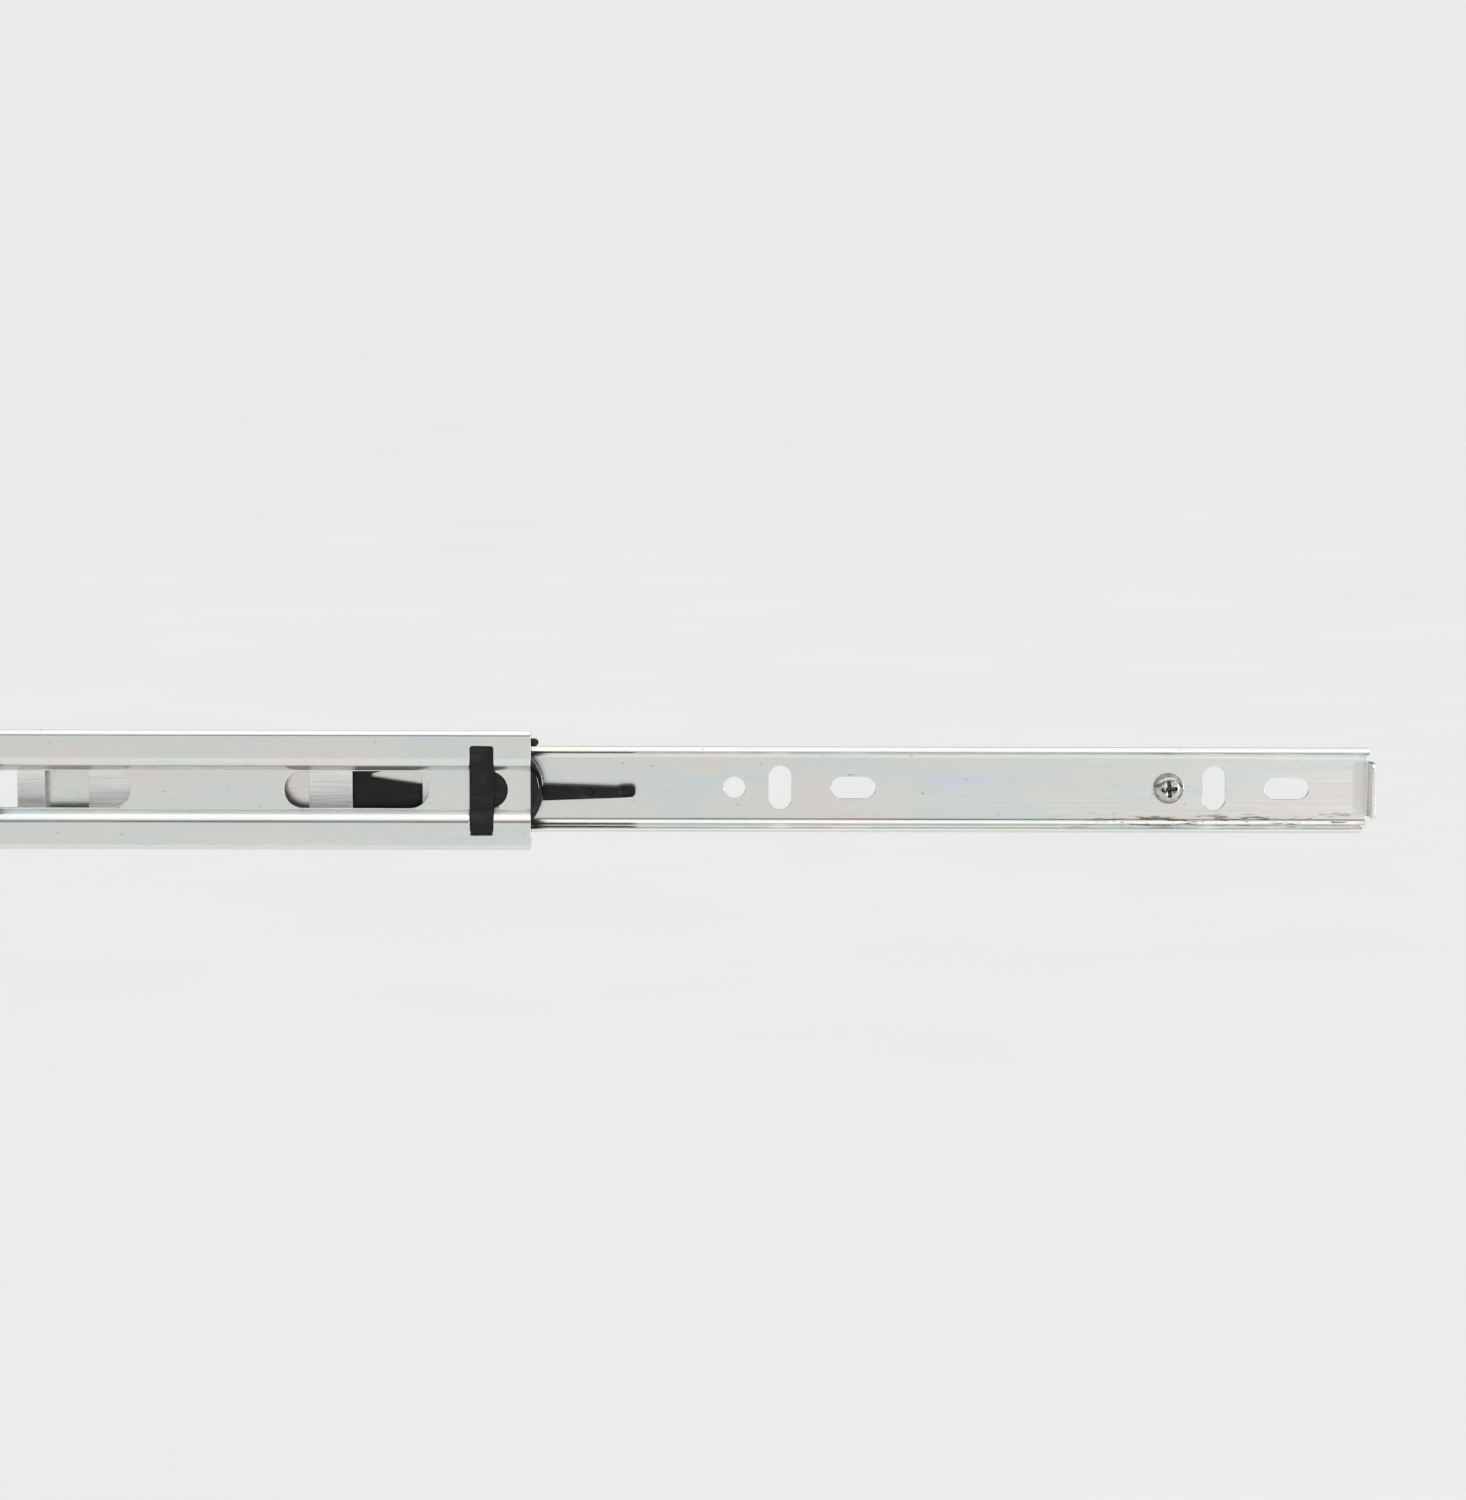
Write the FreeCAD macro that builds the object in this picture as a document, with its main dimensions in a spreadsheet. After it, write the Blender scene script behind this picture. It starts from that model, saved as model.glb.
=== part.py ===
"""Three-section ball-bearing drawer slide, stored fully extended.

The back of the cabinet rail lies on the plane y = 0, +X is the way the drawer opens, +Y points
from the cabinet wall to the drawer side and +Z is up.  The origin is the middle of the cabinet
rail's back.  Every size is a cell of the sheet; a Size carries a cell's value and its expression.
"""
import FreeCAD
import Part

import math
import os

import Sketcher

DIMENSIONS = {
    # Rolled sections
    "sheet": 1.2,                   # steel thickness of all three rails
    "ball_radius": 2.0,
    "race_gap": 0.12,               # running gap between a ball and its race
    "lip_angle": 20.0,              # where a race stops, from the +Y direction
    "outer_ball_y": 5.25,
    "ball_step_y": 1.5,             # the inner balls run this much nearer the drawer
    "inner_ball_z": 13.82,
    "cabinet_corner": 2.0,
    "cabinet_length": 400.0,
    "middle_web_y": 2.1,            # outer face of the middle rail's two flat bands
    "middle_half": 17.55,
    "middle_corner": 1.6,
    "race_root_bend": 0.8,          # inside bend between a flat band and the race
    "recess_depth": 2.6,            # the centre band is set back to clear the cabinet screws
    "recess_half": 5.7,
    "recess_angle": 48.0,
    "recess_bend": 3.6,
    "middle_length": 388.0,
    "middle_front": 356.0,          # front edge of the middle rail, slide extended
    "drawer_web_y": 11.5,
    "drawer_half": 12.4,
    "drawer_corner": 3.5,
    "drawer_length": 390.8,         # from the inside of the front tab to the rear end
    "drawer_reach": 246.7,          # from the middle rail's front to the inside of the tab
    # Holes of the 32 mm system
    "hole_radius": 3.2,
    "slot_half_width": 3.25,
    "slot_length": 13.1,
    "drawer_pitch": 128.0,
    "cabinet_pitch": 96.0,
    "cabinet_first_hole": 163.0,
    "cabinet_rear_hole": -29.0,
    "hole_to_standing_slot": 13.5,
    "hole_to_lying_slot": 35.0,
    "tab_to_lying_slot": 24.0,
    "tab_to_standing_slot": 45.5,
    "tab_to_round_hole": 59.0,
    "rear_round_hole": 331.0,
    "rear_lying_slot": 352.0,
    # Openings of the middle rail, measured back from its front edge
    "access_half_height": 5.45,
    "access_length": 42.2,
    "access_first": 50.95,
    "access_pitch": 87.15,
    "access_count": 4,
    # Guide block of the middle rail
    "bar_rear": 17.65,
    "bar_front": 11.1,
    "bar_half": 13.0,
    "bar_face_y": 2.5,
    "wing_back_y": 3.9,
    "boss_centre": 12.25,
    "boss_radius": 5.25,
    "boss_face_y": 4.5,
    "block_gap": 0.2,               # the cut-out is this much larger than the block
    "block_seat_y": 5.95,
    "block_back_y": 8.0,
    "block_half": 9.3,
    "nose_reach": 3.7,
    "nose_face_y": 2.6,
    "nose_start": 0.15,             # clear of the middle rail's front edge
    "nose_rounding": 0.7,
    "keyway_y": 6.45,               # the release lever's catch leaves through this keyway
    "keyway_height": 3.6,
    # Front tab of the drawer rail
    "tab_half": 8.1,
    "tab_edge_y": 4.0,
    "tab_bend": 0.6,
    "tab_rounding": 1.5,
    "lower_lip_cut": 2.4,           # the lower flange stops short, with a slanted corner
    "lower_lip_slant": 1.2,
    "lower_lip_rise": 1.8,
    # Ball cages
    "cage_sheet": 0.4,
    "arm_half": 0.3,
    "arm_overhang": 2.45,           # how far an arm runs past the ball centres
    "pocket_gap": 0.08,
    "pocket_depth": 3.0,
    "cage_slope_step": 0.3,
    "inner_cage_web_y": 3.45,
    "inner_cage_centre_y": 6.02,
    "inner_slope_foot": 6.3,
    "inner_slope_head": 9.9,
    "inner_cage_front": 0.5,
    "inner_cage_length": 149.5,
    "inner_web_front": 19.0,        # ahead of this the inner cage is two arms, clear of the block
    "block_opening_gap": 0.15,
    "inner_ball_first": 6.0,
    "inner_ball_pitch": 10.0,
    "inner_ball_count": 14,
    "outer_cage_web_y": 1.4,
    "outer_cage_centre_y": 3.55,
    "outer_slope_foot": 5.0,
    "outer_slope_head": 8.0,
    "outer_cage_start": -30.0,
    "outer_cage_length": 205.0,
    "outer_ball_first": -22.0,
    "outer_ball_pitch": 13.0,
    "outer_ball_count": 15,
    "outer_window_margin": 12.0,
    "outer_window_length": 52.0,
    "outer_window_pitch": 64.0,
    "outer_window_count": 3,
    "window_half": 9.0,
    "window_corner": 1.5,
    "tip_radius": 1.2,
    "tip_length": 2.7,
    # Release lever, measured from its pivot
    "pivot_behind_tab": 303.7,
    "lever_face_y": 8.3,
    "lever_thickness": 3.0,
    "lever_hub": 6.4,
    "lever_bore": 1.55,
    "catch_face_y": 6.6,
    "catch_front": 38.9,
    "catch_length": 5.0,
    "catch_low": -3.0,
    "catch_high": -0.6,
    "tail_end": 87.6,
    "pin_radius": 1.5,
    "pin_head": 2.9,
    "pin_head_height": 0.9,
    "pin_play": 0.1,
    # Drawer screw
    "screw_head_radius": 4.45,
    "screw_head_height": 2.5,
    "screw_crown_radius": 2.75,     # flat top of the pan head
    "screw_edge_height": 1.0,       # its straight rim
    "screw_edge_bend": 2.7,
    "screw_plain": 0.4,             # unthreaded neck behind the rail's web
    "screw_core": 2.3,
    "screw_thread": 3.1,
    "screw_pitch": 1.8,
    "screw_turns": 6,
    "screw_point": 1.2,
    "recess_arm": 2.35,
    "recess_width": 1.0,
    "screw_recess_depth": 1.5,
    # Rear bumper, rear guide and their rivets
    "bumper_length": 6.7,
    "bumper_half": 12.0,
    "bumper_face_y": 9.0,
    "bumper_corner": 2.0,
    "foot_length": 20.0,
    "foot_half": 5.0,
    "foot_face_y": 3.0,
    "foot_rivet_back": 7.0,
    "guide_length": 14.0,
    "guide_half": 8.0,
    "guide_plate": 1.4,
    "guide_rib_length": 3.0,
    "guide_face_y": 7.8,
    "rivet_radius": 1.6,
    "rivet_head": 2.6,
    "rivet_head_height": 0.8,
}

# Windows of the inner cage, as start and end behind the middle rail's front edge
INNER_WINDOWS = [(31.7, 52.2), (64.8, 116.7), (129.2, 142.0)]

doc = FreeCAD.newDocument("DrawerSlide")
sheet = doc.addObject("Spreadsheet::Sheet", "Dims")
for row, (alias, number) in enumerate(DIMENSIONS.items(), start=1):
    sheet.set(f"A{row}", alias)
    sheet.set(f"B{row}", str(number))
    sheet.setAlias(f"B{row}", alias)
doc.recompute()


class Size:
    """A number together with the sheet expression that gives it."""

    def __init__(self, value, text):
        self.value = value
        self.text = text

    def __add__(self, other):
        other = as_size(other)
        return Size(self.value + other.value, f"({self.text} + {other.text})")

    def __sub__(self, other):
        other = as_size(other)
        return Size(self.value - other.value, f"({self.text} - {other.text})")

    def __mul__(self, other):
        other = as_size(other)
        return Size(self.value * other.value, f"({self.text} * {other.text})")

    def __truediv__(self, other):
        other = as_size(other)
        return Size(self.value / other.value, f"({self.text} / {other.text})")

    def __neg__(self):
        return Size(-self.value, f"(0 - {self.text})")

    __radd__ = __add__
    __rmul__ = __mul__


def as_size(number):
    """Turn a plain number into a Size, and leave a Size as it is."""
    return number if isinstance(number, Size) else Size(float(number), str(float(number)))


def size(alias):
    """The sheet's cell of this name."""
    return Size(float(sheet.get(alias)), f"Dims.{alias}")


def root(number):
    """Square root of a Size."""
    return Size(math.sqrt(number.value), f"sqrt({number.text})")


def cosine(angle):
    """Cosine of a Size in degrees."""
    return Size(math.cos(math.radians(angle.value)), f"cos({angle.text} * 1 deg)")


def sine(angle):
    """Sine of a Size in degrees."""
    return Size(math.sin(math.radians(angle.value)), f"sin({angle.text} * 1 deg)")


def bind(target, prop, number):
    """Drive a property from the sheet."""
    target.setExpression(prop, as_size(number).text)


# ---------------------------------------------------------------- drawing helpers

def new_body(label, x=0.0, y=0.0, z=0.0):
    """A body with its own label, moved to x, y, z by its placement."""
    body = doc.addObject("PartDesign::Body", label)
    body.Label = label
    for axis, number in (("x", x), ("y", y), ("z", z)):
        bind(body, f".Placement.Base.{axis}", number)
    return body


def new_sketch(body, name, role, offset=0.0):
    """A sketch on one of the body's own origin planes, moved along the plane's normal."""
    sketch = body.newObject("Sketcher::SketchObject", name)
    plane = next(item for item in body.Origin.OriginFeatures if item.Role == role)
    sketch.AttachmentSupport = (plane, "")
    sketch.MapMode = "FlatFace"
    bind(sketch, ".AttachmentOffset.Base.z", offset)
    return sketch


def side_sketch(body, name, depth_y=0.0):
    """A sketch seen from the cabinet wall: x to the right and z up, at the given y."""
    return new_sketch(body, name, "XZ_Plane", -as_size(depth_y))


def hold(sketch, kind, places, number):
    """Add a driven distance or radius to a sketch."""
    number = as_size(number)
    index = sketch.addConstraint(Sketcher.Constraint(kind, *places, number.value))
    if "Dims." in number.text:
        sketch.setExpression(f"Constraints[{index}]", number.text)


def pin_point(sketch, geometry, end, u, v):
    """Hold a point of a sketch at u, v."""
    hold(sketch, "DistanceX", (-1, 1, geometry, end), u)
    hold(sketch, "DistanceY", (-1, 1, geometry, end), v)


def arc_between(start, end, radius, turn):
    """The shorter arc from start to end; turn is 1 to go anticlockwise and -1 clockwise."""
    chord = end - start
    rise = math.sqrt(radius * radius - chord.Length * chord.Length / 4)
    across = FreeCAD.Vector(-chord.y, chord.x, 0) / chord.Length
    centre = (start + end) / 2 + across * (turn * rise)
    first, last = (start, end) if turn > 0 else (end, start)
    angles = [math.atan2(point.y - centre.y, point.x - centre.x) for point in (first, last)]
    circle = Part.Circle(centre, FreeCAD.Vector(0, 0, 1), radius)
    return Part.ArcOfCircle(circle, angles[0], angles[1])


def draw_outline(sketch, steps):
    """Draw a closed loop.

    A step is (u, v) for a line to that point, or (u, v, radius, turn) for an arc to it.  The
    loop starts at the last step's point.
    """
    corners = [(as_size(step[0]), as_size(step[1])) for step in steps]
    points = [FreeCAD.Vector(u.value, v.value, 0) for u, v in corners]
    ends = []
    for index, step in enumerate(steps):
        start, end = points[index - 1], points[index]
        if len(step) == 2:
            geometry = sketch.addGeometry(Part.LineSegment(start, end), False)
            ends.append((geometry, 1, 2))
        else:
            radius, turn = as_size(step[2]), step[3]
            geometry = sketch.addGeometry(arc_between(start, end, radius.value, turn), False)
            hold(sketch, "Radius", (geometry,), radius)
            ends.append((geometry, 1, 2) if turn > 0 else (geometry, 2, 1))
    for index, (geometry, first, last) in enumerate(ends):
        following, its_first, _ = ends[(index + 1) % len(ends)]
        sketch.addConstraint(Sketcher.Constraint("Coincident", geometry, last, following, its_first))
        pin_point(sketch, geometry, last, *corners[index])


def draw_circle(sketch, u, v, radius):
    """Draw a circle held by its centre and radius."""
    centre = FreeCAD.Vector(as_size(u).value, as_size(v).value, 0)
    circle = Part.Circle(centre, FreeCAD.Vector(0, 0, 1), as_size(radius).value)
    geometry = sketch.addGeometry(circle, False)
    pin_point(sketch, geometry, 3, u, v)
    hold(sketch, "Radius", (geometry,), radius)


def draw_box(sketch, low_u, low_v, high_u, high_v):
    """Draw a rectangle."""
    draw_outline(sketch, [(high_u, low_v), (high_u, high_v), (low_u, high_v), (low_u, low_v)])


def draw_slot(sketch, u, v, length, half_width, standing=False):
    """Draw a round-ended slot centred at u, v."""
    reach = length / 2 - half_width
    quarter = math.pi / 2
    turned = quarter if standing else 0.0
    across = (0.0, reach) if standing else (reach, 0.0)
    arcs = []
    for way in (1, -1):
        centre_u = as_size(u) + as_size(across[0]) * way
        centre_v = as_size(v) + as_size(across[1]) * way
        centre = FreeCAD.Vector(centre_u.value, centre_v.value, 0)
        circle = Part.Circle(centre, FreeCAD.Vector(0, 0, 1), half_width.value)
        begin = turned - way * quarter
        geometry = sketch.addGeometry(Part.ArcOfCircle(circle, begin, begin + math.pi), False)
        pin_point(sketch, geometry, 3, centre_u, centre_v)
        hold(sketch, "Radius", (geometry,), half_width)
        arcs.append(geometry)
    for first, second in ((arcs[0], arcs[1]), (arcs[1], arcs[0])):
        line = Part.LineSegment(sketch.getPoint(first, 2), sketch.getPoint(second, 1))
        geometry = sketch.addGeometry(line, False)
        sketch.addConstraint(Sketcher.Constraint("Tangent", first, 2, geometry, 1))
        sketch.addConstraint(Sketcher.Constraint("Tangent", geometry, 2, second, 1))


def pad(body, sketch, length, backwards=False):
    """Extrude a sketch."""
    feature = body.newObject("PartDesign::Pad", f"{sketch.Name}Pad")
    feature.Profile = sketch
    bind(feature, "Length", length)
    feature.Reversed = backwards
    doc.recompute()
    return feature


def cut(body, sketch, depth=None, backwards=False):
    """Cut a sketch out of the body, all the way through unless a depth is given."""
    before = body.Shape.Volume
    feature = body.newObject("PartDesign::Pocket", f"{sketch.Name}Cut")
    feature.Profile = sketch
    feature.Reversed = backwards
    if depth is None:
        feature.Type = "ThroughAll"
    else:
        bind(feature, "Length", depth)
    doc.recompute()
    if body.Shape.Volume >= before - 0.001:
        raise RuntimeError(f"{feature.Name} cuts nothing")
    return feature


def turn_about(body, sketch, axis):
    """Revolve a sketch a full turn about one of its own axes."""
    feature = body.newObject("PartDesign::Revolution", f"{sketch.Name}Turn")
    feature.Profile = sketch
    feature.ReferenceAxis = (sketch, [axis])
    feature.Angle = 360.0
    doc.recompute()
    return feature


def runs_along(edge, axis):
    """Whether an edge is straight and parallel to an axis, given as x, y or z."""
    step = edge.Vertexes[-1].Point - edge.Vertexes[0].Point
    return step.Length > 0 and abs(abs(getattr(step, axis)) - step.Length) < 0.001


def round_edges(body, radius, axis, test):
    """Fillet the edges parallel to an axis whose ends pass the test."""
    feature = body.Tip
    names = []
    for index, edge in enumerate(feature.Shape.Edges, start=1):
        if runs_along(edge, axis) and all(test(vertex.Point) for vertex in edge.Vertexes):
            names.append(f"Edge{index}")
    fillet = body.newObject("PartDesign::Fillet", f"{body.Name}Fillet")
    fillet.Base = (feature, names)
    bind(fillet, "Radius", radius)
    doc.recompute()
    return fillet


def mirrored(steps):
    """Both halves of a symmetric section: the upper steps, then the same points going back.

    The upper half runs from the section's outer face to its inner face, lines and arcs alike.
    The lower half runs back along the mirrored points, so each arc keeps its turn.
    """
    lower = []
    for index in range(len(steps) - 1, -1, -1):
        point = steps[index]
        entering = steps[index + 1] if index + 1 < len(steps) else (0.0, 0.0)
        corner = (point[0], -as_size(point[1]))
        lower.append(corner + tuple(entering[2:]))
    return list(steps) + lower


# ---------------------------------------------------------------- ball positions

thickness = size("sheet")
race = size("ball_radius") + size("race_gap")
race_back = race + thickness
inner_ball_y = size("outer_ball_y") + size("ball_step_y")
inner_ball_z = size("inner_ball_z")
outer_ball_y = size("outer_ball_y")
ball_distance = race + race_back
ball_rise = root(ball_distance * ball_distance - size("ball_step_y") * size("ball_step_y"))
outer_ball_z = inner_ball_z + ball_rise
lip_cosine = cosine(size("lip_angle"))
lip_sine = sine(size("lip_angle"))
middle_front = size("middle_front")
drawer_front = middle_front + size("drawer_reach")


# ---------------------------------------------------------------- the three rails

def cabinet_section():
    """Half of the cabinet rail's C section: web, corner, flange and race lip."""
    corner = size("cabinet_corner")
    half = outer_ball_z + race_back
    return [
        (0.0, half - corner),
        (corner, half, corner, -1),
        (outer_ball_y, half),
        (outer_ball_y + race_back * lip_cosine, outer_ball_z + race_back * lip_sine, race_back, -1),
        (outer_ball_y + race * lip_cosine, outer_ball_z + race * lip_sine),
        (outer_ball_y, half - thickness, race, 1),
        (corner, half - thickness),
        (thickness, half - corner, corner - thickness, 1),
    ]


def middle_section():
    """Half of the middle rail's section.

    The web has a set-back centre band.  The flange passes between the two rows of balls in an
    S, so it is the inner race of the outer balls and the outer race of the inner balls.
    """
    web = size("middle_web_y")
    half = size("middle_half")
    corner = size("middle_corner")
    bend = size("recess_bend")
    slope_cosine = cosine(size("recess_angle"))
    slope_sine = sine(size("recess_angle"))
    crease_y = web + size("recess_depth")
    crease_z = size("recess_half")
    slope_end_y = web + bend - bend * slope_cosine
    slope_rise = (crease_y - slope_end_y) * slope_cosine / slope_sine
    bend_z = crease_z + slope_rise + bend * slope_sine
    inner_bend = bend - thickness
    toward_inner_y = size("ball_step_y") / ball_distance
    toward_inner_z = ball_rise / ball_distance
    drop = outer_ball_z - half
    race_start_y = outer_ball_y - root(race * race - drop * drop)
    corner_y = web + corner
    root_bend = size("race_root_bend")
    back_step = outer_ball_y - corner_y
    back_z = outer_ball_z - root(race_back * race_back - back_step * back_step)
    return [
        (crease_y, crease_z),
        (slope_end_y, crease_z + slope_rise),
        (web, bend_z, bend, -1),
        (web, half - corner),
        (corner_y, half, corner, -1),
        (race_start_y, half),
        (outer_ball_y + race * toward_inner_y, outer_ball_z - race * toward_inner_z, race, 1),
        (inner_ball_y + race_back * lip_cosine, inner_ball_z + race_back * lip_sine, race_back, -1),
        (inner_ball_y + race * lip_cosine, inner_ball_z + race * lip_sine),
        (inner_ball_y - race * toward_inner_y, inner_ball_z + race * toward_inner_z, race, 1),
        (corner_y, back_z, race_back, -1),
        (web + thickness, back_z - corner_y + web + thickness, root_bend, 1),
        (web + thickness, bend_z),
        (web + bend - inner_bend * slope_cosine, bend_z - inner_bend * slope_sine, inner_bend, 1),
        (crease_y + thickness * slope_cosine, crease_z + thickness * slope_sine),
        (crease_y + thickness, crease_z, thickness, -1),
    ]


def drawer_section():
    """Half of the drawer rail's section, from the inside of the channel to the drawer side."""
    web = size("drawer_web_y")
    half = size("drawer_half")
    corner = size("drawer_corner")
    face = web + thickness
    drop = inner_ball_z - half
    spread = root(race * race - drop * drop)
    back_drop = inner_ball_z - half + thickness
    back_spread = root(race_back * race_back - back_drop * back_drop)
    lip_y = inner_ball_y - spread * race_back / race
    lip_z = inner_ball_z - drop * race_back / race
    return [
        (web, half - corner),
        (face - corner, half - thickness, corner - thickness, 1),
        (inner_ball_y + back_spread, half - thickness),
        (lip_y, lip_z, race_back, -1),
        (inner_ball_y - spread, half),
        (inner_ball_y + spread, half, race, 1),
        (face - corner, half),
        (face, half - corner, corner, -1),
    ]


def rail(label, section, length, **place):
    """A rail rolled from one section; its front end is at the body's origin unless moved."""
    body = new_body(label, **place)
    sketch = new_sketch(body, f"{label}_section", "YZ_Plane", -as_size(length))
    draw_outline(sketch, mirrored(section))
    pad(body, sketch, length)
    return body


def system_holes(sketch, round_hole_x):
    """A round hole with a standing and a lying slot behind it."""
    slot_length = size("slot_length")
    half_width = size("slot_half_width")
    draw_circle(sketch, round_hole_x, 0.0, size("hole_radius"))
    draw_slot(sketch, round_hole_x - size("hole_to_standing_slot"), 0.0, slot_length, half_width, True)
    draw_slot(sketch, round_hole_x - size("hole_to_lying_slot"), 0.0, slot_length, half_width)


def make_cabinet_rail():
    """The rail on the cabinet wall, with four groups of screw holes and a rivet hole."""
    body = rail("cabinet_rail", cabinet_section(), size("cabinet_length"), x=size("cabinet_length") / 2)
    sketch = side_sketch(body, "cabinet_holes")
    to_origin = -size("cabinet_length") / 2
    for first in (size("cabinet_first_hole"), size("cabinet_rear_hole")):
        for step in (0, 1):
            system_holes(sketch, first - size("cabinet_pitch") * step + to_origin)
    draw_circle(sketch, foot_rivet_x() + to_origin, 0.0, size("rivet_radius"))
    cut(body, sketch)
    return body


def make_middle_rail():
    """The middle rail, with its access slots and the cut-out that holds the guide block."""
    body = rail("middle_rail", middle_section(), size("middle_length"), x=middle_front)
    slots = side_sketch(body, "access_slots")
    for index in range(int(size("access_count").value)):
        centre = -size("access_first") - size("access_pitch") * index
        draw_slot(slots, centre, 0.0, size("access_length"), size("access_half_height"))
    draw_circle(slots, guide_rivet_x(), 0.0, size("rivet_radius"))
    cut(body, slots)

    gap = size("block_gap")
    bar = side_sketch(body, "bar_cut_out")
    draw_box(bar, -size("bar_rear") - gap, -size("bar_half") - gap, gap - size("bar_front"),
             size("bar_half") + gap)
    cut(body, bar)
    boss = side_sketch(body, "boss_cut_out")
    draw_circle(boss, -size("boss_centre"), 0.0, size("boss_radius") + gap)
    cut(body, boss)
    return body


def make_drawer_rail():
    """The drawer rail, with its front tab bent in towards the cabinet, and its screw holes."""
    web = size("drawer_web_y")
    face = web + thickness
    bend = size("tab_bend")
    body = rail("drawer_rail", drawer_section(), size("drawer_length") - bend, x=drawer_front)
    section = body.Group[0]
    bind(section, ".AttachmentOffset.Base.z", -size("drawer_length"))

    tab = new_sketch(body, "front_tab", "XY_Plane", -size("tab_half"))
    draw_outline(tab, [
        (-bend, web),
        (0.0, web - bend, bend, -1),
        (0.0, size("tab_edge_y")),
        (thickness, size("tab_edge_y")),
        (thickness, web - bend),
        (-bend, face, bend + thickness, 1),
    ])
    pad(body, tab, size("tab_half") * 2)
    edge_y = size("tab_edge_y").value
    round_edges(body, size("tab_rounding"), "x", lambda point: abs(point.y - edge_y) < 0.01)

    lip = side_sketch(body, "lower_lip_end")
    lip_cut = size("lower_lip_cut")
    margin = 1.0
    draw_outline(lip, [
        (margin, -size("drawer_half") - margin),
        (margin, -size("tab_half") - margin),
        (-lip_cut, -size("tab_half") - margin),
        (-lip_cut, -size("drawer_half") + size("lower_lip_rise")),
        (-lip_cut - size("lower_lip_slant"), -size("drawer_half") - margin),
    ])
    cut(body, lip, depth=web - bend)

    holes = side_sketch(body, "drawer_holes")
    for step in (0, 1):
        back = size("drawer_pitch") * step
        draw_slot(holes, -size("tab_to_lying_slot") - back, 0.0, size("slot_length"),
                  size("slot_half_width"))
        draw_slot(holes, -size("tab_to_standing_slot") - back, 0.0, size("slot_length"),
                  size("slot_half_width"), True)
        draw_circle(holes, -size("tab_to_round_hole") - back, 0.0, size("hole_radius"))
    draw_circle(holes, -size("rear_round_hole"), 0.0, size("hole_radius"))
    draw_slot(holes, -size("rear_lying_slot"), 0.0, size("slot_length"), size("slot_half_width"))
    draw_circle(holes, -size("pivot_behind_tab"), 0.0, size("pin_radius"))
    ahead_of_web = web - bend
    bind(holes, ".AttachmentOffset.Base.z", -ahead_of_web)
    cut(body, holes, depth=face + bend - ahead_of_web)
    return body


# ---------------------------------------------------------------- ball cages

def cage_section(which, ball_y, ball_z):
    """Half of a cage: a thin web that follows the middle rail, and an arm through the balls."""
    web_y = size(f"{which}_cage_web_y")
    centre_y = size(f"{which}_cage_centre_y")
    slope_foot = size(f"{which}_slope_foot")
    slope_head = size(f"{which}_slope_head")
    sheet_y = size("cage_sheet")
    step = size("cage_slope_step")
    low = ball_z - size("arm_half")
    high = ball_z + size("arm_half")
    arm_end_y = ball_y + size("arm_overhang")
    return [
        (centre_y, slope_foot),
        (web_y, slope_head),
        (web_y, high),
        (arm_end_y, high),
        (arm_end_y, low),
        (web_y + sheet_y, low),
        (web_y + sheet_y, slope_head + step),
        (centre_y + sheet_y, slope_foot + step),
    ]


def cage(which, front_x, windows, ball_xs, ball_y, ball_z):
    """A cage rolled from one section, with windows in its web and a pocket round each ball."""
    label = f"{which}_cage"
    length = size(f"{label}_length")
    body = new_body(label, x=front_x)
    sketch = new_sketch(body, f"{label}_section", "YZ_Plane", -length)
    draw_outline(sketch, mirrored(cage_section(which, ball_y, ball_z)))
    pad(body, sketch, length)

    web = side_sketch(body, f"{label}_windows")
    half = size("window_half")
    corner = size("window_corner")
    for low, high in windows:
        draw_outline(web, [
            (high - corner, -half),
            (high, -half + corner, corner, 1),
            (high, half - corner),
            (high - corner, half, corner, 1),
            (low + corner, half),
            (low, half - corner, corner, 1),
            (low, -half + corner),
            (low + corner, -half, corner, 1),
        ])
    cut(body, web)

    depth = size("pocket_depth")
    below_arm = ball_z - depth / 2
    pocket = size("ball_radius") + size("pocket_gap")
    for name, offset, backwards in (("upper", below_arm, True), ("lower", -below_arm, False)):
        holes = new_sketch(body, f"{label}_{name}_pockets", "XY_Plane", offset)
        for ball_x in ball_xs:
            draw_circle(holes, ball_x, ball_y, pocket)
        cut(body, holes, depth=depth, backwards=backwards)
    return body


def inner_ball_xs():
    """Ball centres of an inner row, from the middle rail's front edge."""
    count = int(size("inner_ball_count").value)
    return [-size("inner_ball_first") - size("inner_ball_pitch") * index for index in range(count)]


def outer_ball_xs():
    """Ball centres of an outer row, from the outer cage's front end."""
    count = int(size("outer_ball_count").value)
    from_front = size("outer_ball_first") - size("outer_cage_start") - size("outer_cage_length")
    return [from_front + size("outer_ball_pitch") * index for index in range(count)]


def make_inner_cage():
    """The cage between the middle and the drawer rail, open at its front for the guide block."""
    front = -size("inner_cage_front")
    windows = [(-as_size(end) - front, -as_size(start) - front) for start, end in INNER_WINDOWS]
    ball_xs = [ball_x - front for ball_x in inner_ball_xs()]
    body = cage("inner", middle_front + front, windows, ball_xs, inner_ball_y, inner_ball_z)

    open_front = side_sketch(body, "block_opening")
    clear = size("bar_half") + size("block_opening_gap")
    past_front = 1.0
    draw_box(open_front, -size("inner_web_front") - front, -clear, past_front, clear)
    cut(body, open_front)
    return body


def make_outer_cage():
    """The cage between the cabinet and the middle rail."""
    first = size("outer_window_margin") - size("outer_cage_length")
    windows = []
    for index in range(int(size("outer_window_count").value)):
        low = first + size("outer_window_pitch") * index
        windows.append((low, low + size("outer_window_length")))
    front = size("outer_cage_start") + size("outer_cage_length")
    return cage("outer", front, windows, outer_ball_xs(), outer_ball_y, outer_ball_z)


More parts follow.
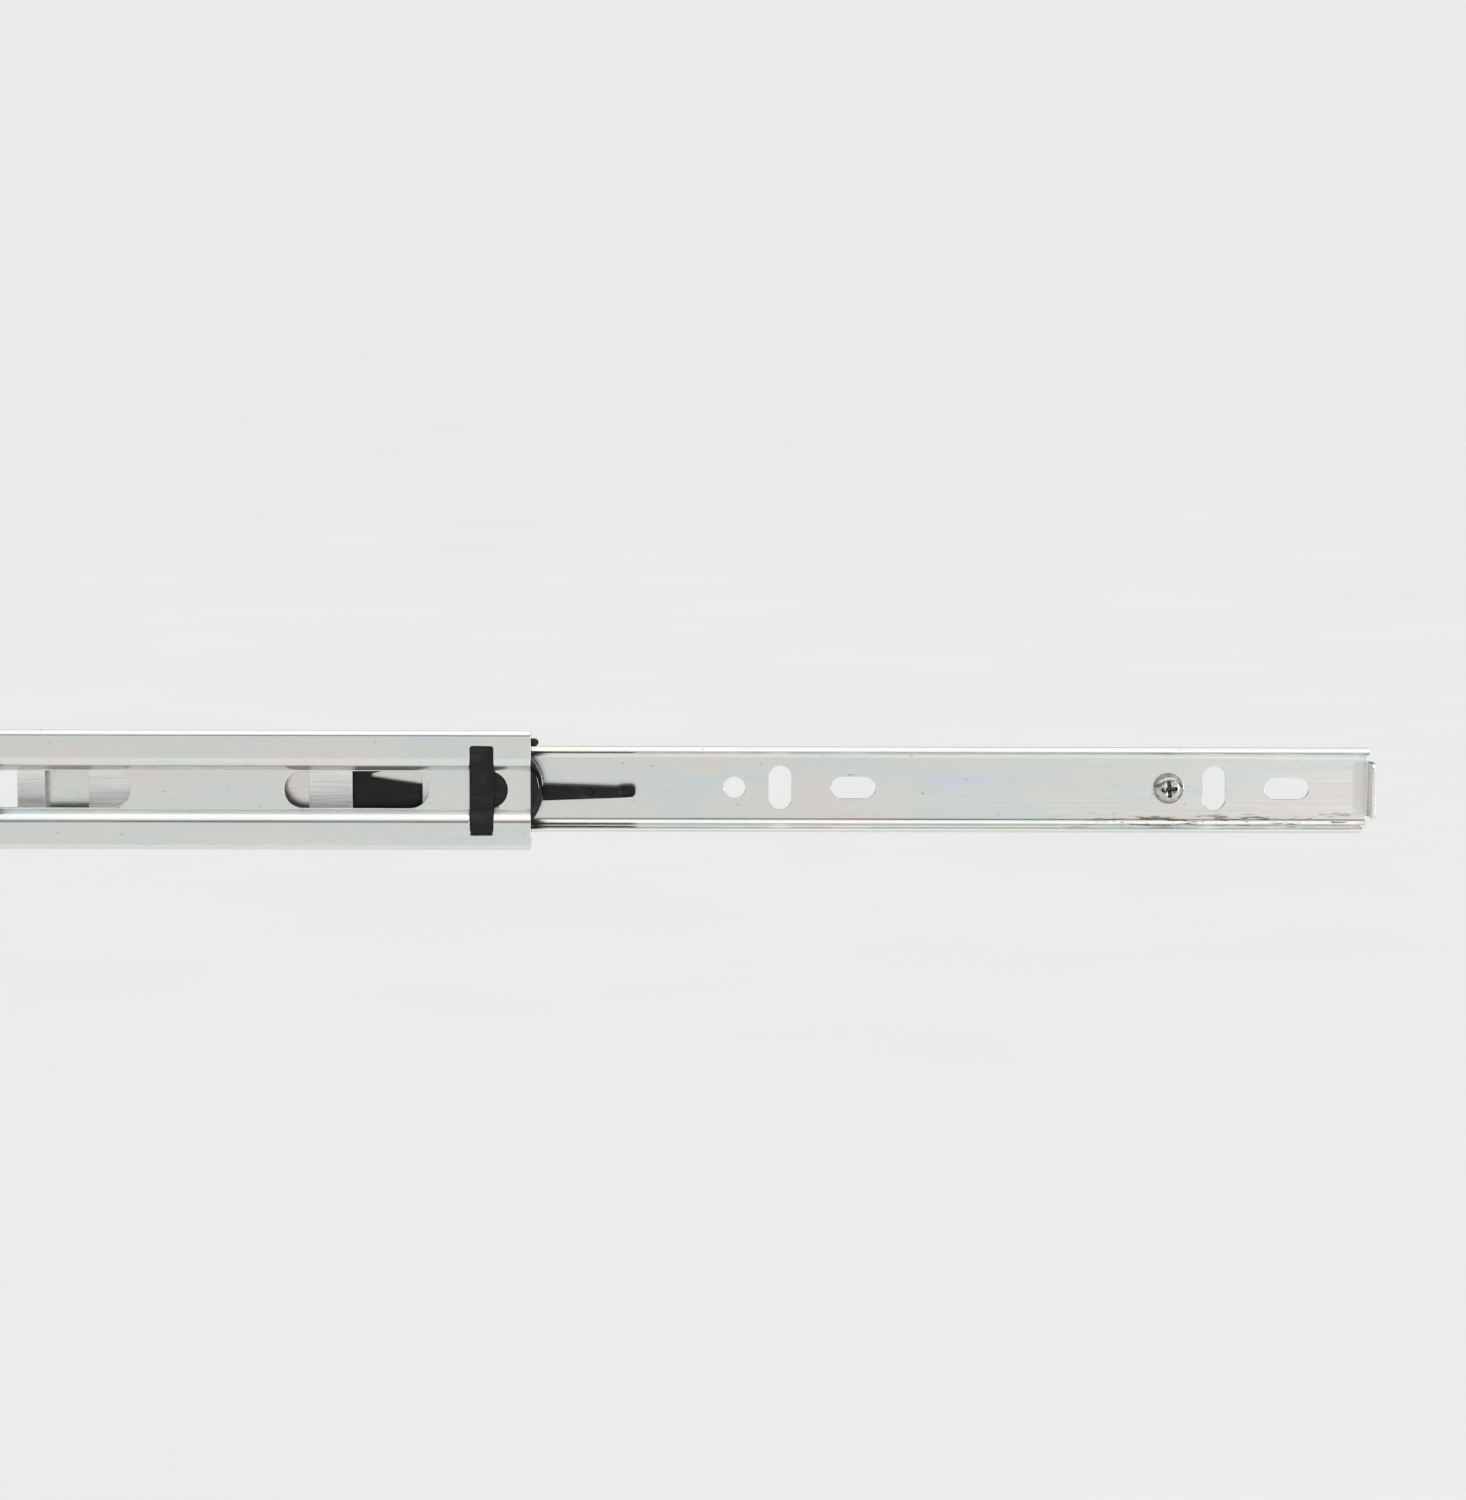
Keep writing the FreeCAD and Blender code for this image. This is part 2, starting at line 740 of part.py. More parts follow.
def make_ball_row(label, centres_x, centre_y, centre_z):
    """One row of steel balls."""
    balls = []
    for index, centre_x in enumerate(centres_x, start=1):
        ball = doc.addObject("Part::Sphere", f"{label}_{index}")
        bind(ball, "Radius", size("ball_radius"))
        for axis, number in (("x", centre_x), ("y", centre_y), ("z", centre_z)):
            bind(ball, f".Placement.Base.{axis}", number)
        balls.append(ball)
    row_of_balls = doc.addObject("Part::Compound", label)
    row_of_balls.Label = label
    row_of_balls.Links = balls
    return row_of_balls


def make_balls():
    """All four rows of balls."""
    inner = [middle_front + ball_x for ball_x in inner_ball_xs()]
    cage_front = size("outer_cage_start") + size("outer_cage_length")
    outer = [cage_front + ball_x for ball_x in outer_ball_xs()]
    return [
        make_ball_row("inner_balls_upper", inner, inner_ball_y, inner_ball_z),
        make_ball_row("inner_balls_lower", inner, inner_ball_y, -inner_ball_z),
        make_ball_row("outer_balls_upper", outer, outer_ball_y, outer_ball_z),
        make_ball_row("outer_balls_lower", outer, outer_ball_y, -outer_ball_z),
    ]


def make_cage_tip():
    """The plastic tip on the front end of the inner cage's upper arm; the lower arm has none."""
    body = new_body("inner_cage_tip", x=middle_front - size("inner_cage_front"), y=inner_ball_y,
                    z=inner_ball_z)
    sketch = new_sketch(body, "tip_profile", "XY_Plane")
    radius = size("tip_radius")
    length = size("tip_length")
    draw_outline(sketch, [
        (length, 0.0),
        (length - radius, radius, radius, 1),
        (0.0, radius),
        (0.0, 0.0),
    ])
    turn_about(body, sketch, "H_Axis")
    return body


# ---------------------------------------------------------------- plastic pieces

def make_guide_block():
    """The plastic block in the middle rail's front end: bar, boss, closing nose and catch."""
    body = new_body("guide_block", x=middle_front)
    seat = size("block_seat_y")
    rear = -size("bar_rear")
    half = size("block_half")
    reach = size("nose_reach")
    nose_radius = (half * half + reach * reach) / (reach * 2)

    core = side_sketch(body, "block_core", seat)
    draw_outline(core, [
        (0.0, -half),
        (reach, 0.0, nose_radius, 1),
        (0.0, half, nose_radius, 1),
        (rear, half),
        (rear, -half),
    ])
    pad(body, core, size("block_back_y") - seat, backwards=True)

    neck = side_sketch(body, "block_neck", size("wing_back_y"))
    draw_box(neck, rear, -half, -size("bar_front"), half)
    pad(body, neck, seat - size("wing_back_y"), backwards=True)

    bar = side_sketch(body, "block_bar", size("bar_face_y"))
    draw_box(bar, rear, -size("bar_half"), -size("bar_front"), size("bar_half"))
    pad(body, bar, size("wing_back_y") - size("bar_face_y"), backwards=True)

    boss = side_sketch(body, "block_boss", size("boss_face_y"))
    draw_circle(boss, -size("boss_centre"), 0.0, size("boss_radius"))
    pad(body, boss, seat - size("boss_face_y"), backwards=True)

    face_y = size("nose_face_y")
    step = size("nose_rounding")
    crescent(body, "block_nose", face_y + step, seat, nose_radius)
    crescent(body, "block_nose_face", face_y, face_y + step, nose_radius - step * 0.6)

    keyway = side_sketch(body, "block_keyway", size("keyway_y"))
    margin = 1.0
    draw_box(keyway, rear - margin, 0.0, reach + margin, size("keyway_height"))
    cut(body, keyway)
    return body


def crescent(body, name, face_y, back_y, radius):
    """One layer of the guide block's nose, in front of the middle rail's edge."""
    half = size("block_half")
    reach = size("nose_reach")
    full_radius = (half * half + reach * reach) / (reach * 2)
    start = size("nose_start")
    centre = reach - full_radius
    end = root(radius * radius - (start - centre) * (start - centre))
    sketch = side_sketch(body, name, face_y)
    draw_outline(sketch, [
        (centre + radius, 0.0, radius, 1),
        (start, end, radius, 1),
        (start, -end),
    ])
    pad(body, sketch, back_y - face_y, backwards=True)


def make_release_lever():
    """The release lever: hub, spring finger, arm with its catch, and thumb tail."""
    body = new_body("release_lever", x=drawer_front - size("pivot_behind_tab"))
    hub = size("lever_hub")
    tail = size("tail_end")
    plate = side_sketch(body, "lever_plate", size("lever_face_y"))
    draw_outline(plate, [
        (-hub, 0.0, hub, 1),
        (0.0, -hub, hub, 1),
        (24.0, -6.0),
        (36.0, -4.2),
        (60.0, -3.6),
        (tail - 4.0, -2.7),
        (tail - 1.2, -2.5),
        (tail, -1.0, 1.5, 1),
        (tail, -0.3),
        (tail - 1.2, 0.85, 1.2, 1),
        (tail - 4.2, 0.85),
        (tail - 5.0, 0.35),
        (tail - 27.0, 1.1),
        (26.0, 0.6),
        (10.6, 2.9),
        (10.6, 4.4, 0.8, -1),
        (20.0, 6.7),
        (19.8, 7.9, 0.62, 1),
        (8.0, 6.0),
        (0.0, hub),
    ])
    pad(body, plate, size("lever_thickness"), backwards=True)

    catch = side_sketch(body, "lever_catch", size("catch_face_y"))
    catch_front = size("catch_front")
    draw_outline(catch, [
        (catch_front - size("catch_length"), size("catch_low")),
        (catch_front, size("catch_low")),
        (catch_front, size("catch_high")),
        (catch_front - size("catch_length"), size("catch_high")),
    ])
    pad(body, catch, size("lever_face_y") - size("catch_face_y"), backwards=True)

    bore = side_sketch(body, "lever_bore_hole")
    draw_circle(bore, 0.0, 0.0, size("lever_bore"))
    cut(body, bore)
    return body


def foot_rivet_x():
    """Where the rear bumper is riveted to the cabinet rail, in the slide's own frame."""
    return size("foot_length") - size("foot_rivet_back") - size("cabinet_length") / 2


def guide_rivet_x():
    """Where the rear guide is riveted, from the middle rail's front edge."""
    return size("guide_length") / 2 - size("middle_length")


def make_rear_bumper():
    """The bumper that stops the middle rail at the back of the cabinet rail."""
    body = new_body("cabinet_rear_bumper", x=-size("cabinet_length") / 2)
    block = side_sketch(body, "bumper_block", thickness)
    draw_box(block, 0.0, -size("bumper_half"), size("bumper_length"), size("bumper_half"))
    pad(body, block, size("bumper_face_y") - thickness, backwards=True)
    bumper_length = size("bumper_length").value
    round_edges(body, size("bumper_corner"), "y",
                lambda point: abs(point.x - bumper_length) < 0.01)
    foot = side_sketch(body, "bumper_foot", thickness)
    draw_box(foot, 0.0, -size("foot_half"), size("foot_length"), size("foot_half"))
    pad(body, foot, size("foot_face_y") - thickness, backwards=True)
    hole = side_sketch(body, "bumper_hole")
    draw_circle(hole, foot_rivet_x() + size("cabinet_length") / 2, 0.0, size("rivet_radius"))
    cut(body, hole)
    return body


def make_rear_guide():
    """The guide block at the middle rail's rear end."""
    seat = size("middle_web_y") + size("recess_depth") + thickness
    body = new_body("middle_rear_guide", x=middle_front - size("middle_length"))
    block = side_sketch(body, "guide_plate", seat)
    draw_box(block, 0.0, -size("recess_half"), size("guide_length"), size("recess_half"))
    pad(body, block, size("guide_plate"), backwards=True)
    top = seat + size("guide_plate")
    rib = side_sketch(body, "guide_rib", top)
    draw_box(rib, 0.0, -size("guide_half"), size("guide_rib_length"), size("guide_half"))
    pad(body, rib, size("guide_face_y") - top, backwards=True)
    hole = side_sketch(body, "guide_hole")
    draw_circle(hole, size("guide_length") / 2, 0.0, size("rivet_radius"))
    cut(body, hole)
    return body


# ---------------------------------------------------------------- rivets and screw

def headed_pin(label, x, seat_y, way, shank, radius, head_radius, head_height):
    """A round pin along Y whose head stands off seat_y, towards +Y where way is 1."""
    body = new_body(label, x=x, y=seat_y)
    profile = new_sketch(body, f"{label}_profile", "XY_Plane")
    top = head_height * way
    draw_outline(profile, [
        (0.0, top),
        (head_radius * 0.6, top),
        (head_radius, top * 0.45),
        (head_radius, 0.0),
        (radius, 0.0),
        (radius, -shank * way),
        (0.0, -shank * way),
    ])
    turn_about(body, profile, "V_Axis")
    return body


def make_bumper_rivet():
    """Rivet of the rear bumper: through the cabinet rail, headed on the bumper's foot."""
    seat = size("foot_face_y")
    return headed_pin("rear_bumper_rivet", foot_rivet_x(), seat, 1, seat, size("rivet_radius"),
                      size("rivet_head"), size("rivet_head_height"))


def make_guide_rivet():
    """Rivet of the rear guide: headed on the guide, flush with the middle rail's outer face."""
    shank = thickness + size("guide_plate")
    seat = size("middle_web_y") + size("recess_depth") + shank
    return headed_pin("rear_guide_rivet", middle_front + guide_rivet_x(), seat, 1, shank,
                      size("rivet_radius"), size("rivet_head"), size("rivet_head_height"))


def make_lever_pin():
    """The pin the release lever turns on."""
    seat = size("lever_face_y") - size("pin_play")
    shank = size("drawer_web_y") + thickness - seat
    return headed_pin("lever_pin", drawer_front - size("pivot_behind_tab"), seat, -1, shank,
                      size("pin_radius"), size("pin_head"), size("pin_head_height"))


def make_drawer_screw():
    """The screw in the drawer rail's front round hole: pan head, threaded shank, cross recess."""
    body = new_body("drawer_screw", x=drawer_front - size("tab_to_round_hole"),
                    y=size("drawer_web_y"))
    profile = new_sketch(body, "screw_profile", "XY_Plane")
    head = size("screw_head_radius")
    height = size("screw_head_height")
    core = size("screw_core")
    thread = size("screw_thread")
    pitch = size("screw_pitch")
    plain = thickness + size("screw_plain")
    steps = [
        (0.0, -height),
        (size("screw_crown_radius"), -height),
        (head, -size("screw_edge_height"), size("screw_edge_bend"), 1),
        (head, 0.0),
        (thread, 0.0),
        (thread, plain),
    ]
    for index in range(int(size("screw_turns").value)):
        crest = plain + pitch * index
        steps.append((core, crest + pitch * 0.35))
        steps.append((core, crest + pitch * 0.65))
        steps.append((thread, crest + pitch))
    end = plain + pitch * size("screw_turns") + size("screw_point")
    steps.append((core / 2, end))
    steps.append((0.0, end))
    draw_outline(profile, steps)
    turn_about(body, profile, "V_Axis")

    arm = size("recess_arm")
    half_width = size("recess_width") / 2
    recess = side_sketch(body, "cross_recess", -height)
    draw_outline(recess, [
        (half_width, -arm), (half_width, -half_width), (arm, -half_width), (arm, half_width),
        (half_width, half_width), (half_width, arm), (-half_width, arm), (-half_width, half_width),
        (-arm, half_width), (-arm, -half_width), (-half_width, -half_width), (-half_width, -arm),
    ])
    cut(body, recess, depth=size("screw_recess_depth"))
    return body


# ---------------------------------------------------------------- build, check and write

def build_all():
    """Make every sub-part."""
    parts = [
        make_cabinet_rail(),
        make_rear_bumper(),
        make_bumper_rivet(),
        make_outer_cage(),
        make_middle_rail(),
        make_guide_block(),
        make_rear_guide(),
        make_guide_rivet(),
        make_inner_cage(),
        make_cage_tip(),
        make_drawer_rail(),
        make_lever_pin(),
        make_drawer_screw(),
        make_release_lever(),
    ]
    return parts + make_balls()


def check_all(parts):
    """Stop if any object failed to rebuild, or a sub-part has no valid shape."""
    for item in doc.Objects:
        if "Invalid" in item.State or "Error" in item.State:
            raise RuntimeError(f"{item.Name} did not rebuild: {item.State}")
    for item in parts:
        if item.Shape.isNull() or not item.Shape.isValid():
            raise RuntimeError(f"{item.Label} has no valid shape")


sub_parts = build_all()
doc.recompute()
check_all(sub_parts)
os.makedirs("parts", exist_ok=True)
for sub_part in sub_parts:
    sub_part.Shape.exportStep(f"parts/{sub_part.Label}.step")
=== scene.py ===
"""Looks of the cabinet drawer slide: zinc-plated rails, brushed ball cages and black plastic.

Sizes are in millimetres, in the slide's own frame, and each mesh is made in metres.  A loop is a
closed outline of fine points.  X runs along the slide, Y from the cabinet to the drawer, Z up.
"""

import math

import bmesh
import bpy
from mathutils import Matrix, Vector


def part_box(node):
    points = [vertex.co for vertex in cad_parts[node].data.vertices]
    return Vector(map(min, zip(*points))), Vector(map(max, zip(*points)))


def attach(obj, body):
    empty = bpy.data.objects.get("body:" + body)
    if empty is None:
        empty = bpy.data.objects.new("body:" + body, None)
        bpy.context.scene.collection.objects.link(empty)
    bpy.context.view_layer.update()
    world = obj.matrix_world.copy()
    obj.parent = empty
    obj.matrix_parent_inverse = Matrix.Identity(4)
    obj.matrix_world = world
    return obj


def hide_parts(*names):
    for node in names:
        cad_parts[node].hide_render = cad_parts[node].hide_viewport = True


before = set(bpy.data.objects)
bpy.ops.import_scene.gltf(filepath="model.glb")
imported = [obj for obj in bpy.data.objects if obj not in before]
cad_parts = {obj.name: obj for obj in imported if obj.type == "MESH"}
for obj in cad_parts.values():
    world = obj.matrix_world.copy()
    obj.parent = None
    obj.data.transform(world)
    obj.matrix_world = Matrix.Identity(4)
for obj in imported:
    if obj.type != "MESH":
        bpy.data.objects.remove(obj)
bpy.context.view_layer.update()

MM = 0.001
FINE_TURN = math.radians(6)     # one step along an arc
FACE_LENGTH = 9.3               # longest face along a rolled section
PAST = 1.0                      # how far a cutter reaches past what it cuts
WELD = 0.002                    # points closer than this are one point
SHARP = math.radians(38)        # edges sharper than this are rounded


def box_mm(node):
    """Lowest and highest corner of a CAD node, in millimetres."""
    low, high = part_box(node)
    return low / MM, high / MM


# ---------------------------------------------------------------- driving dimensions

SHEET = 1.2
RACE = 2.12                     # inside radius of a ball race
RACE_BACK = RACE + SHEET
LIP_ANGLE = math.radians(20)
BALL_STEP_Y = 1.5
OUTER_BALL_Y = 5.25
INNER_BALL_Y = OUTER_BALL_Y + BALL_STEP_Y
INNER_BALL_Z = 13.82
BALL_RISE = math.sqrt((RACE + RACE_BACK) ** 2 - BALL_STEP_Y ** 2)
OUTER_BALL_Z = INNER_BALL_Z + BALL_RISE

CABINET_CORNER = 2.0
MIDDLE_WEB_Y = 2.1
MIDDLE_HALF = 17.55
MIDDLE_CORNER = 1.6
RECESS_DEPTH = 2.6
RECESS_HALF = 5.7
RECESS_ANGLE = math.radians(48)
RECESS_BEND = 3.6
CREASE = 0.2
DRAWER_WEB_Y = 11.5
DRAWER_HALF = 12.4
DRAWER_CORNER = 3.5
TAB_HALF = 8.1
TAB_EDGE_Y = 4.0
TAB_BEND = 0.6
TAB_ROUNDING = 1.5

CABINET_REAR = box_mm("cabinet_rail")[0].x
CABINET_FRONT = box_mm("cabinet_rail")[1].x
MIDDLE_REAR = box_mm("middle_rail")[0].x
MIDDLE_FRONT = box_mm("middle_rail")[1].x
DRAWER_REAR = box_mm("drawer_rail")[0].x
DRAWER_FRONT = box_mm("drawer_rail")[1].x - SHEET

HOLE_RADIUS = 3.2
SLOT_HALF_WIDTH = 3.25
SLOT_LENGTH = 13.1
HOLE_TO_STANDING_SLOT = 13.5
HOLE_TO_LYING_SLOT = 35.0
CABINET_FIRST_HOLES = (163.0, -29.0)    # front round hole of each pair of groups
CABINET_HOLE_STEP = 96.0
RIVET_RADIUS = 1.6
FOOT_RIVET = 13.0               # from the cabinet rail's rear end
GUIDE_RIVET = 7.0               # from the middle rail's rear end

# Access slots and guide block, placed back from the middle rail's front edge
ACCESS_SLOT = 50.95
ACCESS_SLOT_STEP = 87.15
ACCESS_SLOT_LENGTH = 42.2
ACCESS_SLOT_HALF_WIDTH = 5.45
BAR_REAR = 17.65
BAR_FRONT = 11.1
BAR_HALF = 13.0
BAR_CORNER = 0.6
BOSS_CENTRE = 12.25
BOSS_RADIUS = 5.25
BLOCK_GAP = 0.2

# Holes of the drawer rail, placed back from the inside of its front tab
TAB_TO_LYING_SLOT = 24.0
TAB_TO_STANDING_SLOT = 45.5
TAB_TO_ROUND_HOLE = 59.0
DRAWER_HOLE_STEP = 128.0
PIVOT_BEHIND_TAB = 303.7
PIN_RADIUS = 1.5
REAR_ROUND_HOLE = 331.0
REAR_LYING_SLOT = 352.0


# ---------------------------------------------------------------- outlines

def arc_points(start, end, radius, turn):
    """Points after start, up to end, on the shorter arc; turn is 1 for anticlockwise, else -1."""
    chord = end - start
    rise = math.sqrt(max(radius * radius - chord.length_squared / 4, 0.0))
    across = Vector((-chord.y, chord.x)).normalized()
    centre = (start + end) / 2 + across * (turn * rise)
    first = math.atan2(start.y - centre.y, start.x - centre.x)
    last = math.atan2(end.y - centre.y, end.x - centre.x)
    sweep = ((last - first) * turn) % (2 * math.pi)
    count = max(2, math.ceil(sweep / FINE_TURN))
    angles = [first + turn * sweep * step / count for step in range(1, count + 1)]
    return [centre + Vector((math.cos(a), math.sin(a))) * radius for a in angles]


def outline(steps):
    """A loop from steps: (u, v) for a line to that point, (u, v, radius, turn) for an arc."""
    loop = []
    for index, step in enumerate(steps):
        start = Vector(steps[index - 1][:2])
        end = Vector(step[:2])
        loop += [end] if len(step) == 2 else arc_points(start, end, step[2], step[3])
    return loop


def mirrored(steps):
    """Both halves of a symmetric section: the upper steps, then the same points going back."""
    lower = []
    for index in range(len(steps) - 1, -1, -1):
        entering = steps[index + 1] if index + 1 < len(steps) else (0.0, 0.0)
        lower.append((steps[index][0], -steps[index][1]) + tuple(entering[2:]))
    return list(steps) + lower


def circle(u, v, radius):
    """A round loop."""
    count = round(2 * math.pi / FINE_TURN)
    turns = [2 * math.pi * step / count for step in range(count)]
    return [Vector((u + radius * math.cos(a), v + radius * math.sin(a))) for a in turns]


def rounded_box(low_u, low_v, high_u, high_v, radius):
    """A rectangle with round corners."""
    return outline([
        (high_u - radius, low_v),
        (high_u, low_v + radius, radius, 1),
        (high_u, high_v - radius),
        (high_u - radius, high_v, radius, 1),
        (low_u + radius, high_v),
        (low_u, high_v - radius, radius, 1),
        (low_u, low_v + radius),
        (low_u + radius, low_v, radius, 1),
    ])


def slot_loop(u, v, length, half_width, standing=False):
    """A round-ended slot, lying along u unless it stands along v; a trace of its ends is flat."""
    flat = 0.001
    across, along = (length / 2, half_width) if not standing else (half_width, length / 2)
    return rounded_box(u - across, v - along, u + across, v + along, half_width - flat)


# ---------------------------------------------------------------- solids

# How a loop's u and v and its level w lie in the slide's frame
AXES = {
    "x": lambda u, v, w: (w, u, v),
    "y": lambda u, v, w: (u, w, v),
    "z": lambda u, v, w: (u, v, w),
}


def new_object(name, mesh):
    """A Blender object from a bmesh, in the slide's frame."""
    bmesh.ops.recalc_face_normals(mesh, faces=mesh.faces)
    data = bpy.data.meshes.new(name)
    mesh.to_mesh(data)
    mesh.free()
    piece = bpy.data.objects.new(name, data)
    bpy.context.scene.collection.objects.link(piece)
    return piece


def add_loft(mesh, layers, axis):
    """Add a closed solid to a bmesh; layers are (level, loop) with as many points in each."""
    rings = []
    for level, loop in layers:
        rings.append([mesh.verts.new(Vector(AXES[axis](u, v, level)) * MM) for u, v in loop])
    mesh.faces.new(rings[0])
    mesh.faces.new(list(reversed(rings[-1])))
    for near, far in zip(rings, rings[1:]):
        for index in range(len(near)):
            mesh.faces.new((near[index - 1], near[index], far[index], far[index - 1]))


def loft(name, layers, axis):
    """One closed solid through several layers."""
    mesh = bmesh.new()
    add_loft(mesh, layers, axis)
    return new_object(name, mesh)


def prisms(name, loops, low, high, axis):
    """One straight solid for each loop, from low to high along an axis, in one object."""
    mesh = bmesh.new()
    for loop in loops:
        add_loft(mesh, [(low, loop), (high, loop)], axis)
    return new_object(name, mesh)


def strip(name, section, low, high):
    """A rolled section along X, in short lengths so that no face is long and thin."""
    loop = outline(mirrored(section))
    count = math.ceil((high - low) / FACE_LENGTH)
    return loft(name, [(low + (high - low) * step / count, loop) for step in range(count + 1)], "x")


def spin(name, profile, centre_x, centre_z, sides=72):
    """A solid turned about an axis along Y; profile is (radius, y), from axis to axis."""
    mesh = bmesh.new()
    rings = []
    for radius, y in profile:
        if radius == 0:
            rings.append([mesh.verts.new(Vector((centre_x, y, centre_z)) * MM)] * sides)
            continue
        ring = []
        for side in range(sides):
            angle = 2 * math.pi * side / sides
            point = (centre_x + radius * math.cos(angle), y, centre_z + radius * math.sin(angle))
            ring.append(mesh.verts.new(Vector(point) * MM))
        rings.append(ring)
    for near, far in zip(rings, rings[1:]):
        for side in range(sides):
            corners = []
            for vertex in (near[side - 1], near[side], far[side], far[side - 1]):
                if vertex not in corners:
                    corners.append(vertex)
            mesh.faces.new(corners)
    return new_object(name, mesh)


def combine(target, other, operation):
    """Unite two solids, or cut the other one away, and delete the other one."""
    modifier = target.modifiers.new("combine", "BOOLEAN")
    modifier.operation = operation
    modifier.solver = "EXACT"
    modifier.object = other
    bpy.context.view_layer.objects.active = target
    bpy.ops.object.modifier_apply(modifier=modifier.name)
    bpy.data.objects.remove(other, do_unlink=True)
    mesh = bmesh.new()
    mesh.from_mesh(target.data)
    bmesh.ops.remove_doubles(mesh, verts=mesh.verts, dist=WELD * MM)
    bmesh.ops.dissolve_degenerate(mesh, edges=mesh.edges, dist=WELD * MM)
    mesh.to_mesh(target.data)
    mesh.free()
    return target


def cut(target, loops, low, high, axis="y"):
    """Cut prisms out of a solid."""
    return combine(target, prisms("cutter", loops, low, high, axis), "DIFFERENCE")


def soften(piece, edge, segments=2):
    """Round the sharp edges by a small amount, and keep the flat faces looking flat."""
    bevel = piece.modifiers.new("edges", "BEVEL")
    bevel.width = edge * MM
    bevel.segments = segments
    bevel.limit_method = "ANGLE"
    bevel.angle_limit = SHARP
    bevel.use_clamp_overlap = False
    bevel.miter_outer = "MITER_ARC"
    normals = piece.modifiers.new("normals", "WEIGHTED_NORMAL")
    normals.keep_sharp = True
    for face in piece.data.polygons:
        face.use_smooth = True


def place(piece, node, body, material, edge, segments=2):
    """Make a new piece stand for a CAD node: its edges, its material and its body."""
    piece.data.materials.clear()
    piece.data.materials.append(material)
    soften(piece, edge, segments)
    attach(piece, body)
    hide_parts(node)
    return piece


# ---------------------------------------------------------------- material nodes

def new_material(name):
    """A material with its node tree and its shader."""
    material = bpy.data.materials.new(name)
    material.use_nodes = True
    tree = material.node_tree
    return material, tree, tree.nodes["Principled BSDF"]


def stretched(tree, scale):
    """Object coordinates, scaled along each axis in features a metre."""
    coordinates = tree.nodes.new("ShaderNodeTexCoord")
    mapping = tree.nodes.new("ShaderNodeMapping")
    mapping.inputs["Scale"].default_value = scale
    tree.links.new(coordinates.outputs["Object"], mapping.inputs["Vector"])
    return mapping.outputs["Vector"]


def noise(tree, scale, detail=3.0, roughness=0.55):
    """A soft noise over stretched object coordinates, from 0 to 1."""
    texture = tree.nodes.new("ShaderNodeTexNoise")
    texture.inputs["Scale"].default_value = 1.0
    texture.inputs["Detail"].default_value = detail
    texture.inputs["Roughness"].default_value = roughness
    tree.links.new(stretched(tree, scale), texture.inputs["Vector"])
    return texture.outputs["Fac"]


def remap(tree, value, low, high, new_low, new_high):
    """Map a value's range from low..high to new_low..new_high, and clamp it."""
    node = tree.nodes.new("ShaderNodeMapRange")
    node.inputs["From Min"].default_value = low
    node.inputs["From Max"].default_value = high
    node.inputs["To Min"].default_value = new_low
    node.inputs["To Max"].default_value = new_high
    tree.links.new(value, node.inputs["Value"])
    return node.outputs["Result"]


def ramp(tree, value, stops):
    """Colours along a value; stops are (place, colour)."""
    node = tree.nodes.new("ShaderNodeValToRGB")
    elements = node.color_ramp.elements
    while len(elements) < len(stops):
        elements.new(0.5)
    for element, (position, colour) in zip(elements, stops):
        element.position = position
        element.color = (*colour, 1.0)
    tree.links.new(value, node.inputs["Fac"])
    return node.outputs["Color"]


def shade_by(tree, colour, value):
    """Multiply a colour by a grey value."""
    node = tree.nodes.new("ShaderNodeMix")
    node.data_type = "RGBA"
    node.blend_type = "MULTIPLY"
    node.inputs["Factor"].default_value = 1.0
    tree.links.new(colour, node.inputs[6])
    tree.links.new(value, node.inputs[7])
    return node.outputs[2]


def add_bump(tree, shader, height, depth, strength=1.0):
    """A bump of this depth, in millimetres."""
    bump = tree.nodes.new("ShaderNodeBump")
    bump.inputs["Strength"].default_value = strength
    bump.inputs["Distance"].default_value = depth * MM
    tree.links.new(height, bump.inputs["Height"])
    tree.links.new(bump.outputs["Normal"], shader.inputs["Normal"])


def multiply(tree, first, second):
    """The product of two values."""
    node = tree.nodes.new("ShaderNodeMath")
    node.operation = "MULTIPLY"
    tree.links.new(first, node.inputs[0])
    tree.links.new(second, node.inputs[1])
    return node.outputs["Value"]


def place_of(tree):
    """Object coordinates as three separate values."""
    coordinates = tree.nodes.new("ShaderNodeTexCoord")
    split = tree.nodes.new("ShaderNodeSeparateXYZ")
    tree.links.new(coordinates.outputs["Object"], split.inputs["Vector"])
    return split.outputs["X"], split.outputs["Y"], split.outputs["Z"]


def scuff_mask(tree):
    """Dark rub marks along the lower edge of the drawer rail's channel, near its front end."""
    x, _, z = place_of(tree)
    dashes = noise(tree, (110, 900, 900), detail=4.0, roughness=0.7)
    along = remap(tree, x, 500 * MM, 530 * MM, 0.0, 1.0)
    below = remap(tree, z, -6.5 * MM, -9.0 * MM, 0.0, 1.0)
    below = multiply(tree, below, remap(tree, z, -11.3 * MM, -10.6 * MM, 0.0, 1.0))
    dark = remap(tree, dashes, 0.56, 0.60, 0.0, 0.75)
    return remap(tree, multiply(tree, multiply(tree, along, below), dark), 0.0, 1.0, 1.0, 0.0)


